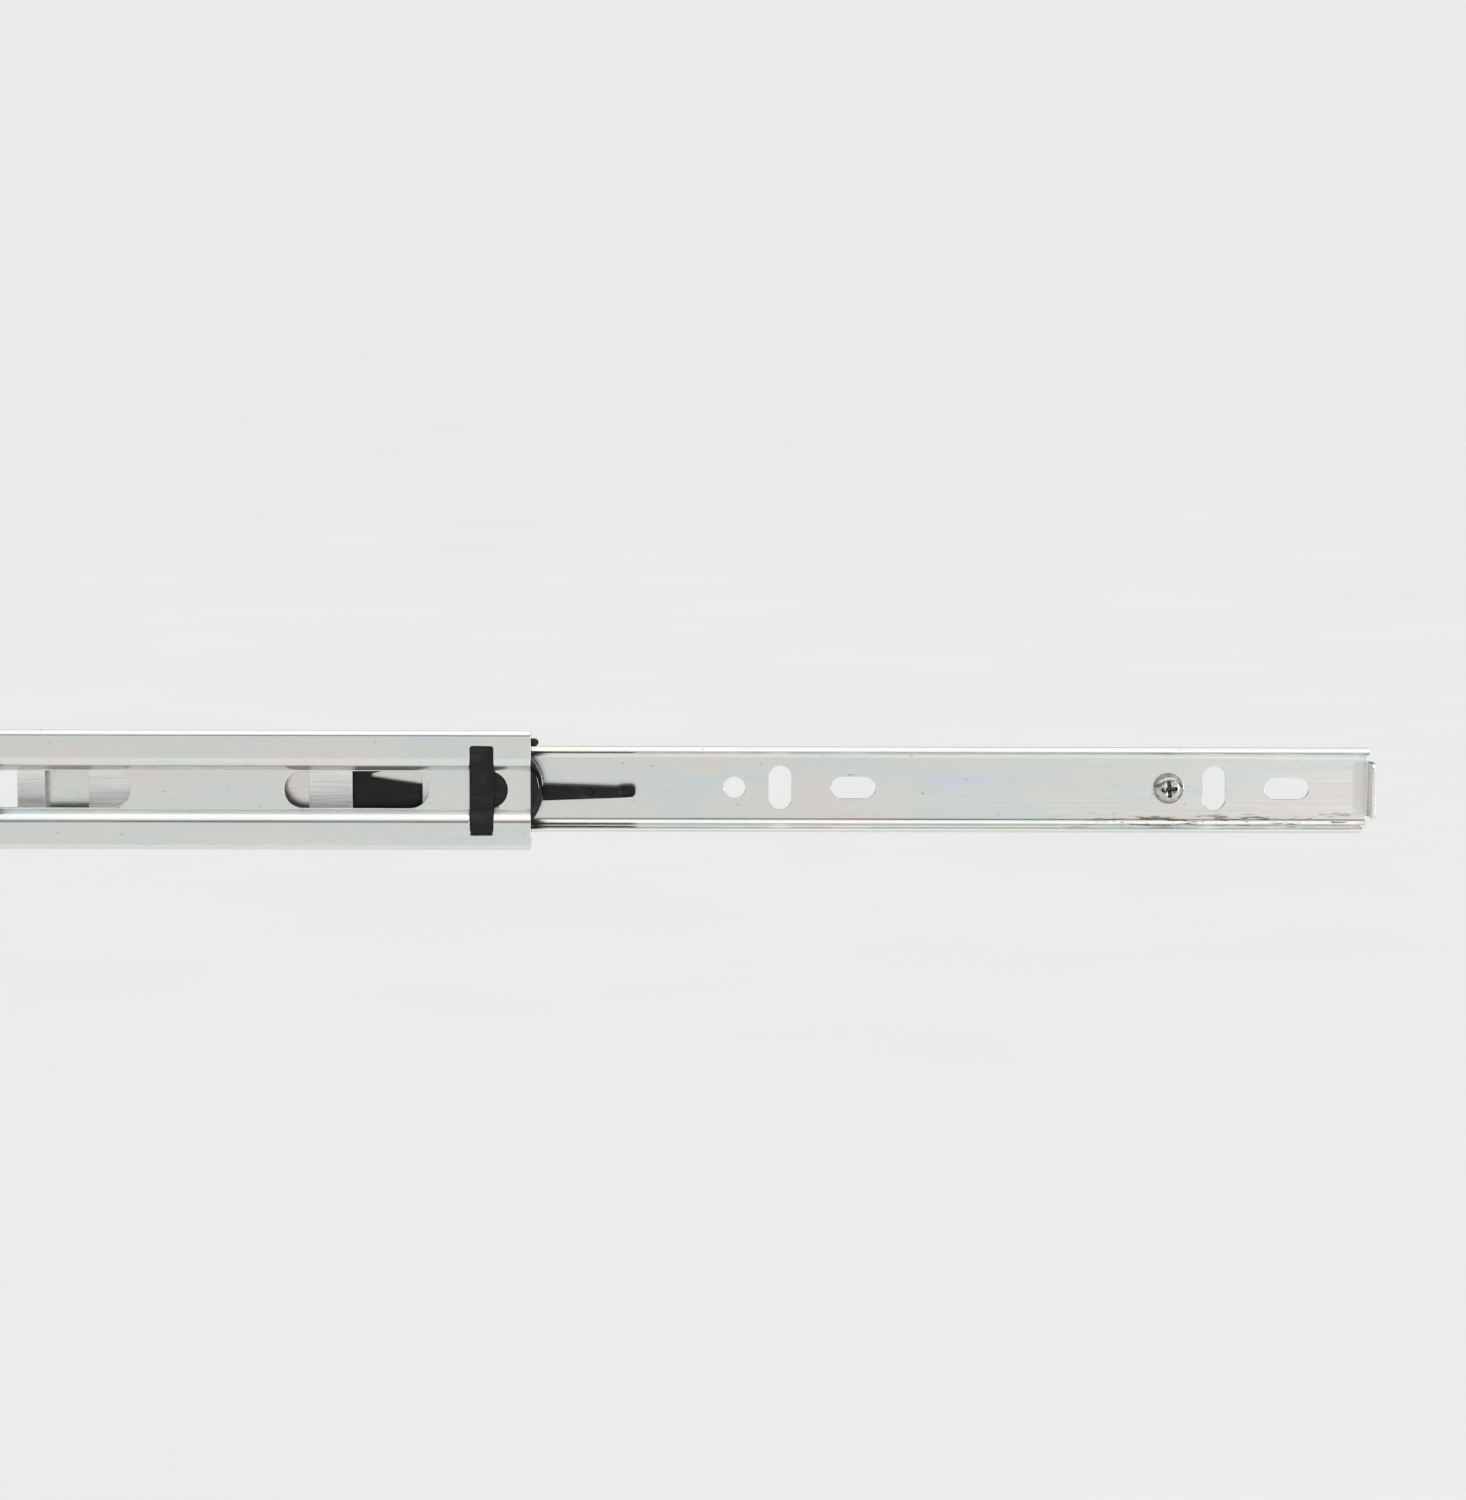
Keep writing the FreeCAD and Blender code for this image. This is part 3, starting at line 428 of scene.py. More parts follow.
def zinc_steel(name, scuffed=False):
    """Bright zinc plate on rolled strip: rainbow clouds, rolling streaks, marks and any scuffs."""
    material, tree, shader = new_material(name)
    clouds = noise(tree, (26, 110, 110), detail=3.0)
    streaks = noise(tree, (14, 1300, 1300), detail=4.0, roughness=0.65)
    marks = noise(tree, (420, 900, 900), detail=1.0)
    tint = ramp(tree, clouds, [
        (0.30, (0.840, 0.770, 0.785)),
        (0.40, (0.825, 0.810, 0.750)),
        (0.50, (0.805, 0.809, 0.785)),
        (0.60, (0.765, 0.812, 0.780)),
        (0.70, (0.765, 0.790, 0.835)),
    ])
    tint = shade_by(tree, tint, remap(tree, streaks, 0.3, 0.7, 0.93, 1.03))
    tint = shade_by(tree, tint, remap(tree, marks, 0.20, 0.25, 0.60, 1.0))
    if scuffed:
        tint = shade_by(tree, tint, scuff_mask(tree))
    tree.links.new(tint, shader.inputs["Base Color"])
    tree.links.new(remap(tree, streaks, 0.3, 0.7, 0.19, 0.30), shader.inputs["Roughness"])
    shader.inputs["Metallic"].default_value = 1.0
    add_bump(tree, shader, streaks, 0.009)
    return material


def cage_steel():
    """Bare brushed strip of the ball cages, with fine lines along the slide."""
    material, tree, shader = new_material("cage_steel")
    lines = noise(tree, (40, 2300, 2300), detail=4.0, roughness=0.7)
    clouds = noise(tree, (40, 160, 160), detail=2.0)
    tint = ramp(tree, clouds, [
        (0.35, (0.850, 0.847, 0.828)),
        (0.65, (0.790, 0.787, 0.772)),
    ])
    tint = shade_by(tree, tint, remap(tree, lines, 0.3, 0.7, 0.76, 1.12))
    tree.links.new(tint, shader.inputs["Base Color"])
    tree.links.new(remap(tree, lines, 0.3, 0.7, 0.26, 0.42), shader.inputs["Roughness"])
    shader.inputs["Metallic"].default_value = 1.0
    add_bump(tree, shader, lines, 0.004)
    return material


def ball_steel():
    """Polished bearing balls with a thin film of grease."""
    material, tree, shader = new_material("ball_steel")
    film = noise(tree, (500, 500, 500), detail=2.0)
    tree.links.new(ramp(tree, film, [
        (0.35, (0.56, 0.56, 0.57)),
        (0.65, (0.66, 0.65, 0.62)),
    ]), shader.inputs["Base Color"])
    tree.links.new(remap(tree, film, 0.35, 0.65, 0.08, 0.2), shader.inputs["Roughness"])
    shader.inputs["Metallic"].default_value = 1.0
    return material


def rivet_steel():
    """Dull plated rivets, with upset marks."""
    material, tree, shader = new_material("rivet_steel")
    grain = noise(tree, (900, 900, 900), detail=3.0)
    tree.links.new(ramp(tree, grain, [
        (0.35, (0.42, 0.42, 0.41)),
        (0.65, (0.58, 0.57, 0.55)),
    ]), shader.inputs["Base Color"])
    tree.links.new(remap(tree, grain, 0.35, 0.65, 0.28, 0.45), shader.inputs["Roughness"])
    shader.inputs["Metallic"].default_value = 1.0
    add_bump(tree, shader, grain, 0.02)
    return material


def screw_steel():
    """Nickel-plated screw, warmer and darker than the rails, scuffed, with painted shade darkening
    its cross recess.
    """
    material, tree, shader = new_material("screw_steel")
    scuffs = noise(tree, (700, 900, 1600), detail=4.0)
    tint = ramp(tree, scuffs, [
        (0.32, (0.40, 0.37, 0.34)),
        (0.50, (0.58, 0.555, 0.52)),
        (0.68, (0.66, 0.64, 0.61)),
    ])
    # Painted shade: the colour goes darker towards the bottom of the cross recess, standing in for
    # the shade that falls there.
    depth = remap(tree, place_of(tree)[1], 9.35 * MM, 9.8 * MM, 0.0, 1.0)
    centre = (DRAWER_FRONT - TAB_TO_ROUND_HOLE) * MM
    distance = tree.nodes.new("ShaderNodeVectorMath")
    distance.operation = "DISTANCE"
    tree.links.new(stretched(tree, (1, 0, 1)), distance.inputs[0])
    distance.inputs[1].default_value = (centre, 0.0, 0.0)
    inside = remap(tree, distance.outputs["Value"], 2.7 * MM, 3.0 * MM, 1.0, 0.0)
    recess_shade = remap(tree, multiply(tree, depth, inside), 0.0, 1.0, 1.0, 0.16)
    tint = shade_by(tree, tint, recess_shade)
    tree.links.new(tint, shader.inputs["Base Color"])
    tree.links.new(remap(tree, scuffs, 0.3, 0.7, 0.14, 0.3), shader.inputs["Roughness"])
    shader.inputs["Metallic"].default_value = 1.0
    add_bump(tree, shader, scuffs, 0.02)
    return material


def black_plastic(name, nose=False):
    """Moulded black plastic, greyer where it is rubbed; the guide block's nose is polished."""
    material, tree, shader = new_material(name)
    patches = noise(tree, (120, 300, 300), detail=4.0)
    grain = noise(tree, (2600, 2600, 2600), detail=2.0)
    tree.links.new(ramp(tree, patches, [
        (0.42, (0.0045, 0.0045, 0.0045)),
        (0.56, (0.0080, 0.0080, 0.0077)),
        (0.68, (0.0230, 0.0225, 0.0215)),
    ]), shader.inputs["Base Color"])
    roughness = remap(tree, patches, 0.35, 0.75, 0.34, 0.50)
    if nose:
        front = remap(tree, place_of(tree)[0], MIDDLE_FRONT * MM, (MIDDLE_FRONT + 0.4) * MM, 1.0, 0.3)
        roughness = multiply(tree, roughness, front)
    tree.links.new(roughness, shader.inputs["Roughness"])
    shader.inputs["Specular IOR Level"].default_value = 0.3
    add_bump(tree, shader, grain, 0.008, 0.6)
    return material


STEEL = zinc_steel("zinc_steel")
SCUFFED_STEEL = zinc_steel("scuffed_zinc_steel", scuffed=True)
CAGE_STEEL = cage_steel()
BALL_STEEL = ball_steel()
RIVET_STEEL = rivet_steel()
SCREW_STEEL = screw_steel()
BLACK_PLASTIC = black_plastic("black_plastic")
NOSE_PLASTIC = black_plastic("nose_plastic", nose=True)


# ---------------------------------------------------------------- rails

def cabinet_section():
    """Half of the cabinet rail's section."""
    half = OUTER_BALL_Z + RACE_BACK
    corner = CABINET_CORNER
    lip_y = math.cos(LIP_ANGLE)
    lip_z = math.sin(LIP_ANGLE)
    return [
        (0.0, half - corner),
        (corner, half, corner, -1),
        (OUTER_BALL_Y, half),
        (OUTER_BALL_Y + RACE_BACK * lip_y, OUTER_BALL_Z + RACE_BACK * lip_z, RACE_BACK, -1),
        (OUTER_BALL_Y + RACE * lip_y, OUTER_BALL_Z + RACE * lip_z),
        (OUTER_BALL_Y, half - SHEET, RACE, 1),
        (corner, half - SHEET),
        (SHEET, half - corner, corner - SHEET, 1),
    ]


def middle_section():
    """Half of the middle rail's section, with the set-back centre band."""
    web = MIDDLE_WEB_Y
    bend = RECESS_BEND
    slope_y = math.sin(RECESS_ANGLE)
    slope_z = math.cos(RECESS_ANGLE)
    crease_y = web + RECESS_DEPTH
    crease_cut = CREASE * math.tan(RECESS_ANGLE / 2)
    slope_end_y = web + bend * (1 - slope_z)
    slope_rise = (crease_y - slope_end_y) * slope_z / slope_y
    bend_z = RECESS_HALF + slope_rise + bend * slope_y
    inner_bend = bend - SHEET
    to_inner_y = BALL_STEP_Y / (RACE + RACE_BACK)
    to_inner_z = BALL_RISE / (RACE + RACE_BACK)
    race_start_y = OUTER_BALL_Y - math.sqrt(RACE ** 2 - (OUTER_BALL_Z - MIDDLE_HALF) ** 2)
    corner_y = web + MIDDLE_CORNER
    back_z = OUTER_BALL_Z - math.sqrt(RACE_BACK ** 2 - (OUTER_BALL_Y - corner_y) ** 2)
    root_bend = 0.8
    lip_y = math.cos(LIP_ANGLE)
    lip_z = math.sin(LIP_ANGLE)
    return [
        (crease_y, RECESS_HALF - crease_cut),
        (crease_y - crease_cut * slope_y, RECESS_HALF + crease_cut * slope_z, CREASE, 1),
        (slope_end_y, RECESS_HALF + slope_rise),
        (web, bend_z, bend, -1),
        (web, MIDDLE_HALF - MIDDLE_CORNER),
        (corner_y, MIDDLE_HALF, MIDDLE_CORNER, -1),
        (race_start_y, MIDDLE_HALF),
        (OUTER_BALL_Y + RACE * to_inner_y, OUTER_BALL_Z - RACE * to_inner_z, RACE, 1),
        (INNER_BALL_Y + RACE_BACK * lip_y, INNER_BALL_Z + RACE_BACK * lip_z, RACE_BACK, -1),
        (INNER_BALL_Y + RACE * lip_y, INNER_BALL_Z + RACE * lip_z),
        (INNER_BALL_Y - RACE * to_inner_y, INNER_BALL_Z + RACE * to_inner_z, RACE, 1),
        (corner_y, back_z, RACE_BACK, -1),
        (web + SHEET, back_z - corner_y + web + SHEET, root_bend, 1),
        (web + SHEET, bend_z),
        (web + bend - inner_bend * slope_z, bend_z - inner_bend * slope_y, inner_bend, 1),
        (crease_y + SHEET * slope_z, RECESS_HALF + SHEET * slope_y),
        (crease_y + SHEET, RECESS_HALF, SHEET, -1),
    ]


def drawer_section():
    """Half of the drawer rail's section, from the inside of the channel to the drawer side."""
    face = DRAWER_WEB_Y + SHEET
    drop = INNER_BALL_Z - DRAWER_HALF
    spread = math.sqrt(RACE ** 2 - drop ** 2)
    back_spread = math.sqrt(RACE_BACK ** 2 - (drop + SHEET) ** 2)
    share = RACE_BACK / RACE
    return [
        (DRAWER_WEB_Y, DRAWER_HALF - DRAWER_CORNER),
        (face - DRAWER_CORNER, DRAWER_HALF - SHEET, DRAWER_CORNER - SHEET, 1),
        (INNER_BALL_Y + back_spread, DRAWER_HALF - SHEET),
        (INNER_BALL_Y - spread * share, INNER_BALL_Z - drop * share, RACE_BACK, -1),
        (INNER_BALL_Y - spread, DRAWER_HALF),
        (INNER_BALL_Y + spread, DRAWER_HALF, RACE, 1),
        (face - DRAWER_CORNER, DRAWER_HALF),
        (face, DRAWER_HALF - DRAWER_CORNER, DRAWER_CORNER, -1),
    ]


def system_holes(round_hole_x):
    """Loops of a round hole with a standing and a lying slot behind it."""
    return [
        circle(round_hole_x, 0.0, HOLE_RADIUS),
        slot_loop(round_hole_x - HOLE_TO_STANDING_SLOT, 0.0, SLOT_LENGTH, SLOT_HALF_WIDTH, True),
        slot_loop(round_hole_x - HOLE_TO_LYING_SLOT, 0.0, SLOT_LENGTH, SLOT_HALF_WIDTH),
    ]


def make_cabinet_rail():
    """The rail on the cabinet wall."""
    piece = strip("cabinet_rail_plated", cabinet_section(), CABINET_REAR, CABINET_FRONT)
    holes = [circle(CABINET_REAR + FOOT_RIVET, 0.0, RIVET_RADIUS)]
    for first in CABINET_FIRST_HOLES:
        for back in (0.0, CABINET_HOLE_STEP):
            holes += system_holes(first - back)
    cut(piece, holes, -PAST, SHEET + PAST)
    place(piece, "cabinet_rail", "cabinet", STEEL, edge=0.15)


def make_middle_rail():
    """The middle rail, with access slots and the cut-out for the guide block."""
    piece = strip("middle_rail_plated", middle_section(), MIDDLE_REAR, MIDDLE_FRONT)
    holes = [circle(MIDDLE_REAR + GUIDE_RIVET, 0.0, RIVET_RADIUS)]
    for index in range(4):
        centre = MIDDLE_FRONT - ACCESS_SLOT - ACCESS_SLOT_STEP * index
        holes.append(slot_loop(centre, 0.0, ACCESS_SLOT_LENGTH, ACCESS_SLOT_HALF_WIDTH))
    web = MIDDLE_WEB_Y + RECESS_DEPTH
    cut(piece, holes, web - PAST, web + SHEET + PAST)
    half = BAR_HALF + BLOCK_GAP
    rear = MIDDLE_FRONT - BAR_REAR - BLOCK_GAP
    front = MIDDLE_FRONT - BAR_FRONT + BLOCK_GAP
    bar = rounded_box(rear, -half, front, half, BAR_CORNER + BLOCK_GAP / 2)
    boss = circle(MIDDLE_FRONT - BOSS_CENTRE, 0.0, BOSS_RADIUS + BLOCK_GAP)
    for loop in (bar, boss):
        cut(piece, [loop], MIDDLE_WEB_Y - PAST, web + SHEET + PAST)
    place(piece, "middle_rail", "middle", STEEL, edge=0.12)


def make_front_tab():
    """The end of the drawer rail's web, bent in towards the cabinet."""
    face = DRAWER_WEB_Y + SHEET
    overlap = 2.0
    side = outline([
        (DRAWER_FRONT - overlap, DRAWER_WEB_Y),
        (DRAWER_FRONT - TAB_BEND, DRAWER_WEB_Y),
        (DRAWER_FRONT, DRAWER_WEB_Y - TAB_BEND, TAB_BEND, -1),
        (DRAWER_FRONT, TAB_EDGE_Y),
        (DRAWER_FRONT + SHEET, TAB_EDGE_Y),
        (DRAWER_FRONT + SHEET, DRAWER_WEB_Y - TAB_BEND),
        (DRAWER_FRONT - TAB_BEND, face, TAB_BEND + SHEET, 1),
        (DRAWER_FRONT - overlap, face),
    ])
    tab = prisms("front_tab", [side], -TAB_HALF, TAB_HALF, "z")
    front = outline([
        (TAB_EDGE_Y, TAB_ROUNDING - TAB_HALF),
        (TAB_EDGE_Y + TAB_ROUNDING, -TAB_HALF, TAB_ROUNDING, 1),
        (face + PAST, -TAB_HALF),
        (face + PAST, TAB_HALF),
        (TAB_EDGE_Y + TAB_ROUNDING, TAB_HALF),
        (TAB_EDGE_Y, TAB_HALF - TAB_ROUNDING, TAB_ROUNDING, 1),
    ])
    keep = prisms("keep", [front], DRAWER_FRONT - overlap - PAST, DRAWER_FRONT + SHEET + PAST, "x")
    return combine(tab, keep, "INTERSECT")


def make_drawer_rail():
    """The drawer rail, with its front tab and screw holes."""
    piece = strip("drawer_rail_plated", drawer_section(), DRAWER_REAR, DRAWER_FRONT - TAB_BEND)
    low = -DRAWER_HALF
    lip_end = DRAWER_FRONT - 2.4
    lip_slant = 1.2
    lip_rise = 1.8
    lip = [Vector(point) for point in (
        (DRAWER_FRONT + PAST, low - PAST),
        (DRAWER_FRONT + PAST, -TAB_HALF - PAST),
        (lip_end, -TAB_HALF - PAST),
        (lip_end, low + lip_rise),
        (lip_end - lip_slant, low - PAST),
    )]
    cut(piece, [lip], 0.0, DRAWER_WEB_Y - TAB_BEND)
    combine(piece, make_front_tab(), "UNION")
    holes = [
        circle(DRAWER_FRONT - REAR_ROUND_HOLE, 0.0, HOLE_RADIUS),
        slot_loop(DRAWER_FRONT - REAR_LYING_SLOT, 0.0, SLOT_LENGTH, SLOT_HALF_WIDTH),
        circle(DRAWER_FRONT - PIVOT_BEHIND_TAB, 0.0, PIN_RADIUS),
    ]
    for back in (0.0, DRAWER_HOLE_STEP):
        front = DRAWER_FRONT - back
        holes.append(slot_loop(front - TAB_TO_LYING_SLOT, 0.0, SLOT_LENGTH, SLOT_HALF_WIDTH))
        holes.append(slot_loop(front - TAB_TO_STANDING_SLOT, 0.0, SLOT_LENGTH, SLOT_HALF_WIDTH, True))
        holes.append(circle(front - TAB_TO_ROUND_HOLE, 0.0, HOLE_RADIUS))
    cut(piece, holes, DRAWER_WEB_Y - PAST / 2, DRAWER_WEB_Y + SHEET + PAST / 2)
    place(piece, "drawer_rail", "drawer", SCUFFED_STEEL, edge=0.13)


# ---------------------------------------------------------------- ball cages

CAGE_SHEET = 0.4
ARM_HALF = 0.3
ARM_OVERHANG = 2.45
POCKET = 2.08
POCKET_REACH = 1.5
SLOPE_STEP = 0.3
WINDOW_HALF = 9.0
WINDOW_CORNER = 1.5
CAGE_EDGE = 0.06


def cage_section(web_y, centre_y, slope_foot, slope_head, ball_y, ball_z):
    """Half of a cage's section: a web that follows the middle rail, and an arm."""
    low = ball_z - ARM_HALF
    high = ball_z + ARM_HALF
    return [
        (centre_y, slope_foot),
        (web_y, slope_head),
        (web_y, high),
        (ball_y + ARM_OVERHANG, high),
        (ball_y + ARM_OVERHANG, low),
        (web_y + CAGE_SHEET, low),
        (web_y + CAGE_SHEET, slope_head + SLOPE_STEP),
        (centre_y + CAGE_SHEET, slope_foot + SLOPE_STEP),
    ]


def make_cage(node, section, windows, ball_xs, ball_y, ball_z):
    """A cage, with windows in its web and a pocket round each ball."""
    low, high = box_mm(node)
    piece = strip(f"{node}_brushed", section, low.x, high.x)
    loops = [rounded_box(start, -WINDOW_HALF, end, WINDOW_HALF, WINDOW_CORNER)
             for start, end in windows]
    cut(piece, loops, low.y - PAST, section[0][0] + CAGE_SHEET + PAST)
    pockets = [circle(ball_x, ball_y, POCKET) for ball_x in ball_xs]
    for side in (1, -1):
        cut(piece, pockets, side * ball_z - POCKET_REACH, side * ball_z + POCKET_REACH, "z")
    return piece


def make_inner_cage():
    """The cage between the middle and the drawer rail, open at its front for the guide block."""
    section = cage_section(web_y=3.45, centre_y=6.02, slope_foot=6.3, slope_head=9.9,
                           ball_y=INNER_BALL_Y, ball_z=INNER_BALL_Z)
    behind_front = ((31.7, 52.2), (64.8, 116.7), (129.2, 142.0))
    windows = [(MIDDLE_FRONT - end, MIDDLE_FRONT - start) for start, end in behind_front]
    first_ball = 6.0
    ball_step = 10.0
    ball_xs = [MIDDLE_FRONT - first_ball - ball_step * index for index in range(14)]
    piece = make_cage("inner_cage", section, windows, ball_xs, INNER_BALL_Y, INNER_BALL_Z)
    half = 13.15
    opening = rounded_box(MIDDLE_FRONT - 19.0, -half, MIDDLE_FRONT + 5.0, half, radius=1.0)
    cut(piece, [opening], low=2.0, high=8.0)
    place(piece, "inner_cage", "inner_cage", CAGE_STEEL, CAGE_EDGE)


def make_outer_cage():
    """The cage between the cabinet and the middle rail."""
    section = cage_section(web_y=1.4, centre_y=3.55, slope_foot=5.0, slope_head=8.0,
                           ball_y=OUTER_BALL_Y, ball_z=OUTER_BALL_Z)
    rear = box_mm("outer_cage")[0].x
    bridge = 12.0
    step = 64.0
    windows = [(rear + bridge + step * index, rear + step * (index + 1)) for index in range(3)]
    first_ball = 8.0
    ball_step = 13.0
    ball_xs = [rear + first_ball + ball_step * index for index in range(15)]
    piece = make_cage("outer_cage", section, windows, ball_xs, OUTER_BALL_Y, OUTER_BALL_Z)
    place(piece, "outer_cage", "outer_cage", CAGE_STEEL, CAGE_EDGE)


def make_cage_tip():
    """Black plastic tip on the front end of the inner cage's upper arm."""
    low, high = box_mm("inner_cage_tip")
    radius = (high.z - low.z) / 2
    dome = (        # share of the length, share of the radius
        (0.0, 0.78), (0.12, 1.0), (0.55, 1.0), (0.66, 0.97), (0.78, 0.86), (0.88, 0.68),
        (0.95, 0.45), (1.0, 0.2),
    )
    layers = []
    for level, share in dome:
        ring = circle(INNER_BALL_Y, INNER_BALL_Z, share * radius)
        layers.append((low.x + level * (high.x - low.x), ring))
    piece = loft("cage_tip_moulded", layers, "x")
    place(piece, "inner_cage_tip", "inner_cage", BLACK_PLASTIC, edge=0.05)


# ---------------------------------------------------------------- plastic pieces

NOSE_REACH = 3.7
NOSE_START = 0.15
NOSE_STEPS = 24
NOSE_ROUNDING = 2.0
BLOCK_HALF = 9.3


def crescent_loop(inset):
    """The nose of the guide block in front of the middle rail, drawn in by an inset."""
    full = (BLOCK_HALF ** 2 + NOSE_REACH ** 2) / (2 * NOSE_REACH)
    radius = full - inset
    centre = NOSE_REACH - full
    spread = math.acos((NOSE_START - centre) / radius)
    turns = [spread * (2 * step / NOSE_STEPS - 1) for step in range(NOSE_STEPS + 1)]
    return [Vector((MIDDLE_FRONT + centre + radius * math.cos(turn), radius * math.sin(turn)))
            for turn in turns]


def make_guide_block():
    """Bar, boss and rounded nose of the block that guides and stops the drawer rail."""
    x = MIDDLE_FRONT
    rear = x - BAR_REAR
    front = x - BAR_FRONT
    bar_y = 2.5
    nose_y = 2.6
    neck_y = 3.5
    bar_end_y = 3.9
    boss_y = 4.5
    seat = 5.95
    joined = seat + 0.25
    keyway_y = 6.45
    back = 8.0
    plan = crescent_loop(0.0)
    core = plan + [Vector(corner) for corner in ((x, BLOCK_HALF), (rear, BLOCK_HALF),
                                                 (rear, -BLOCK_HALF), (x, -BLOCK_HALF))]
    piece = prisms("guide_block_moulded", [core], seat, back, "y")
    layers = []
    for step in range(8, -1, -1):
        turn = math.pi / 2 * step / 8
        inset = NOSE_ROUNDING * (1 - math.cos(turn))
        layers.append((nose_y + NOSE_ROUNDING * (1 - math.sin(turn)), crescent_loop(inset)))
    layers.append((joined, plan))
    combine(piece, loft("nose", layers, "y"), "UNION")
    neck = [Vector(corner) for corner in ((rear, -BLOCK_HALF), (front, -BLOCK_HALF),
                                          (front, BLOCK_HALF), (rear, BLOCK_HALF))]
    combine(piece, prisms("neck", [neck], neck_y, joined, "y"), "UNION")
    bar = rounded_box(rear, -BAR_HALF, front, BAR_HALF, BAR_CORNER)
    combine(piece, prisms("bar", [bar], bar_y, bar_end_y, "y"), "UNION")
    boss = circle(x - BOSS_CENTRE, 0.0, BOSS_RADIUS)
    combine(piece, prisms("boss", [boss], boss_y, joined, "y"), "UNION")
    keyway_front = x + 5.0
    keyway_top = 3.6
    keyway = [Vector(corner) for corner in ((rear - PAST, 0.0), (keyway_front, 0.0),
                                            (keyway_front, keyway_top), (rear - PAST, keyway_top))]
    cut(piece, [keyway], keyway_y, back + PAST)
    place(piece, "guide_block", "middle", NOSE_PLASTIC, edge=0.15, segments=3)


def make_release_lever():
    """Hub, spring finger, arm with catch, and thumb tail of the release lever."""
    pivot = DRAWER_FRONT - PIVOT_BEHIND_TAB
    hub = 6.4
    tail = 87.6
    face = 8.3
    back = 11.3
    steps = [
        (-hub, 0.0, hub, 1),
        (0.0, -hub, hub, 1),
        (24.0, -6.0),
        (36.0, -4.2),
        (60.0, -3.6),
        (tail - 4.0, -2.7),
        (tail - 1.2, -2.5),
        (tail, -1.0, 1.5, 1),
        (tail, -0.3),
        (tail - 1.2, 0.85, 1.2, 1),
        (tail - 4.2, 0.85),
        (tail - 5.0, 0.35),
        (tail - 27.0, 1.1),
        (26.0, 0.6),
        (10.6, 2.9),
        (10.6, 4.4, 0.8, -1),
        (20.0, 6.7),
        (19.8, 7.9, 0.62, 1),
        (8.0, 6.0),
        (0.0, hub),
    ]
    loop = [point + Vector((pivot, 0.0)) for point in outline(steps)]
    piece = prisms("release_lever_moulded", [loop], face, back, "y")
    catch = rounded_box(pivot + 33.9, -3.0, pivot + 38.9, -0.6, radius=0.3)
    combine(piece, prisms("catch", [catch], low=6.6, high=9.0, axis="y"), "UNION")
    above = face - 0.3
    pin_hole = circle(pivot, 0.0, PIN_RADIUS + 0.05)
    cut(piece, [pin_hole], above, back + 0.7)
    ejector_mark = circle(pivot + 74.2, -1.05, radius=1.0)
    mark_depth = 0.15
    cut(piece, [ejector_mark], above, face + mark_depth)
    groove = 0.45
    groove_depth = 0.25
    grip = [rounded_box(pivot + start, -2.1, pivot + start + groove, 0.4, radius=0.2)
            for start in (tail - 3.9, tail - 2.9, tail - 1.9)]
    cut(piece, grip, above, face + groove_depth)
    place(piece, "release_lever", "lever", BLACK_PLASTIC, edge=0.22, segments=3)


# ---------------------------------------------------------------- screw and kept pieces

def cross_loop(x, arm, half_width, turn):
    """A cross about the screw's axis, turned by an angle."""
    corners = [
        (half_width, -arm), (half_width, -half_width), (arm, -half_width), (arm, half_width),
        (half_width, half_width), (half_width, arm), (-half_width, arm),
        (-half_width, half_width), (-arm, half_width), (-arm, -half_width),
        (-half_width, -half_width), (-half_width, -arm),
    ]
    rotation = Matrix.Rotation(turn, 2)
    return [rotation @ Vector(corner) + Vector((x, 0.0)) for corner in corners]


THREAD_CORE = 2.3
THREAD_CREST = 3.1
THREAD_PITCH = 1.8
THREAD_SIDES = 40
THREAD_ROWS = 12                # rows of points in one turn of the thread
FLANK = 3.2                     # how fast the ridge falls off either side of its crest


def thread_loop(x, y, run_out):
    """The thread's outline across the screw at y; run_out is the share of its height left."""
    loop = []
    for side in range(THREAD_SIDES):
        turn = side / THREAD_SIDES
        phase = (y / THREAD_PITCH - turn) % 1.0
        height = max(0.0, 1.0 - abs(phase - 0.5) * FLANK) * max(run_out, 0.0)
        radius = THREAD_CORE + (THREAD_CREST - THREAD_CORE) * height
        angle = 2 * math.pi * turn
        loop.append((x + radius * math.cos(angle), radius * math.sin(angle)))
    return loop


def add_thread(piece, x, start, end):
    """Unite a helical thread with the screw; it runs out at both ends."""
    rows = round((end - start) / THREAD_PITCH * THREAD_ROWS)
    least = 0.02
    layers = []
    for row in range(rows + 1):
        y = start + (end - start) * row / rows
        run_out = min(1.0, (end - y) / THREAD_PITCH, (y - start) / THREAD_PITCH + least)
        layers.append((y, thread_loop(x, y, run_out)))
    return combine(piece, loft("thread", layers, "y"), "UNION")


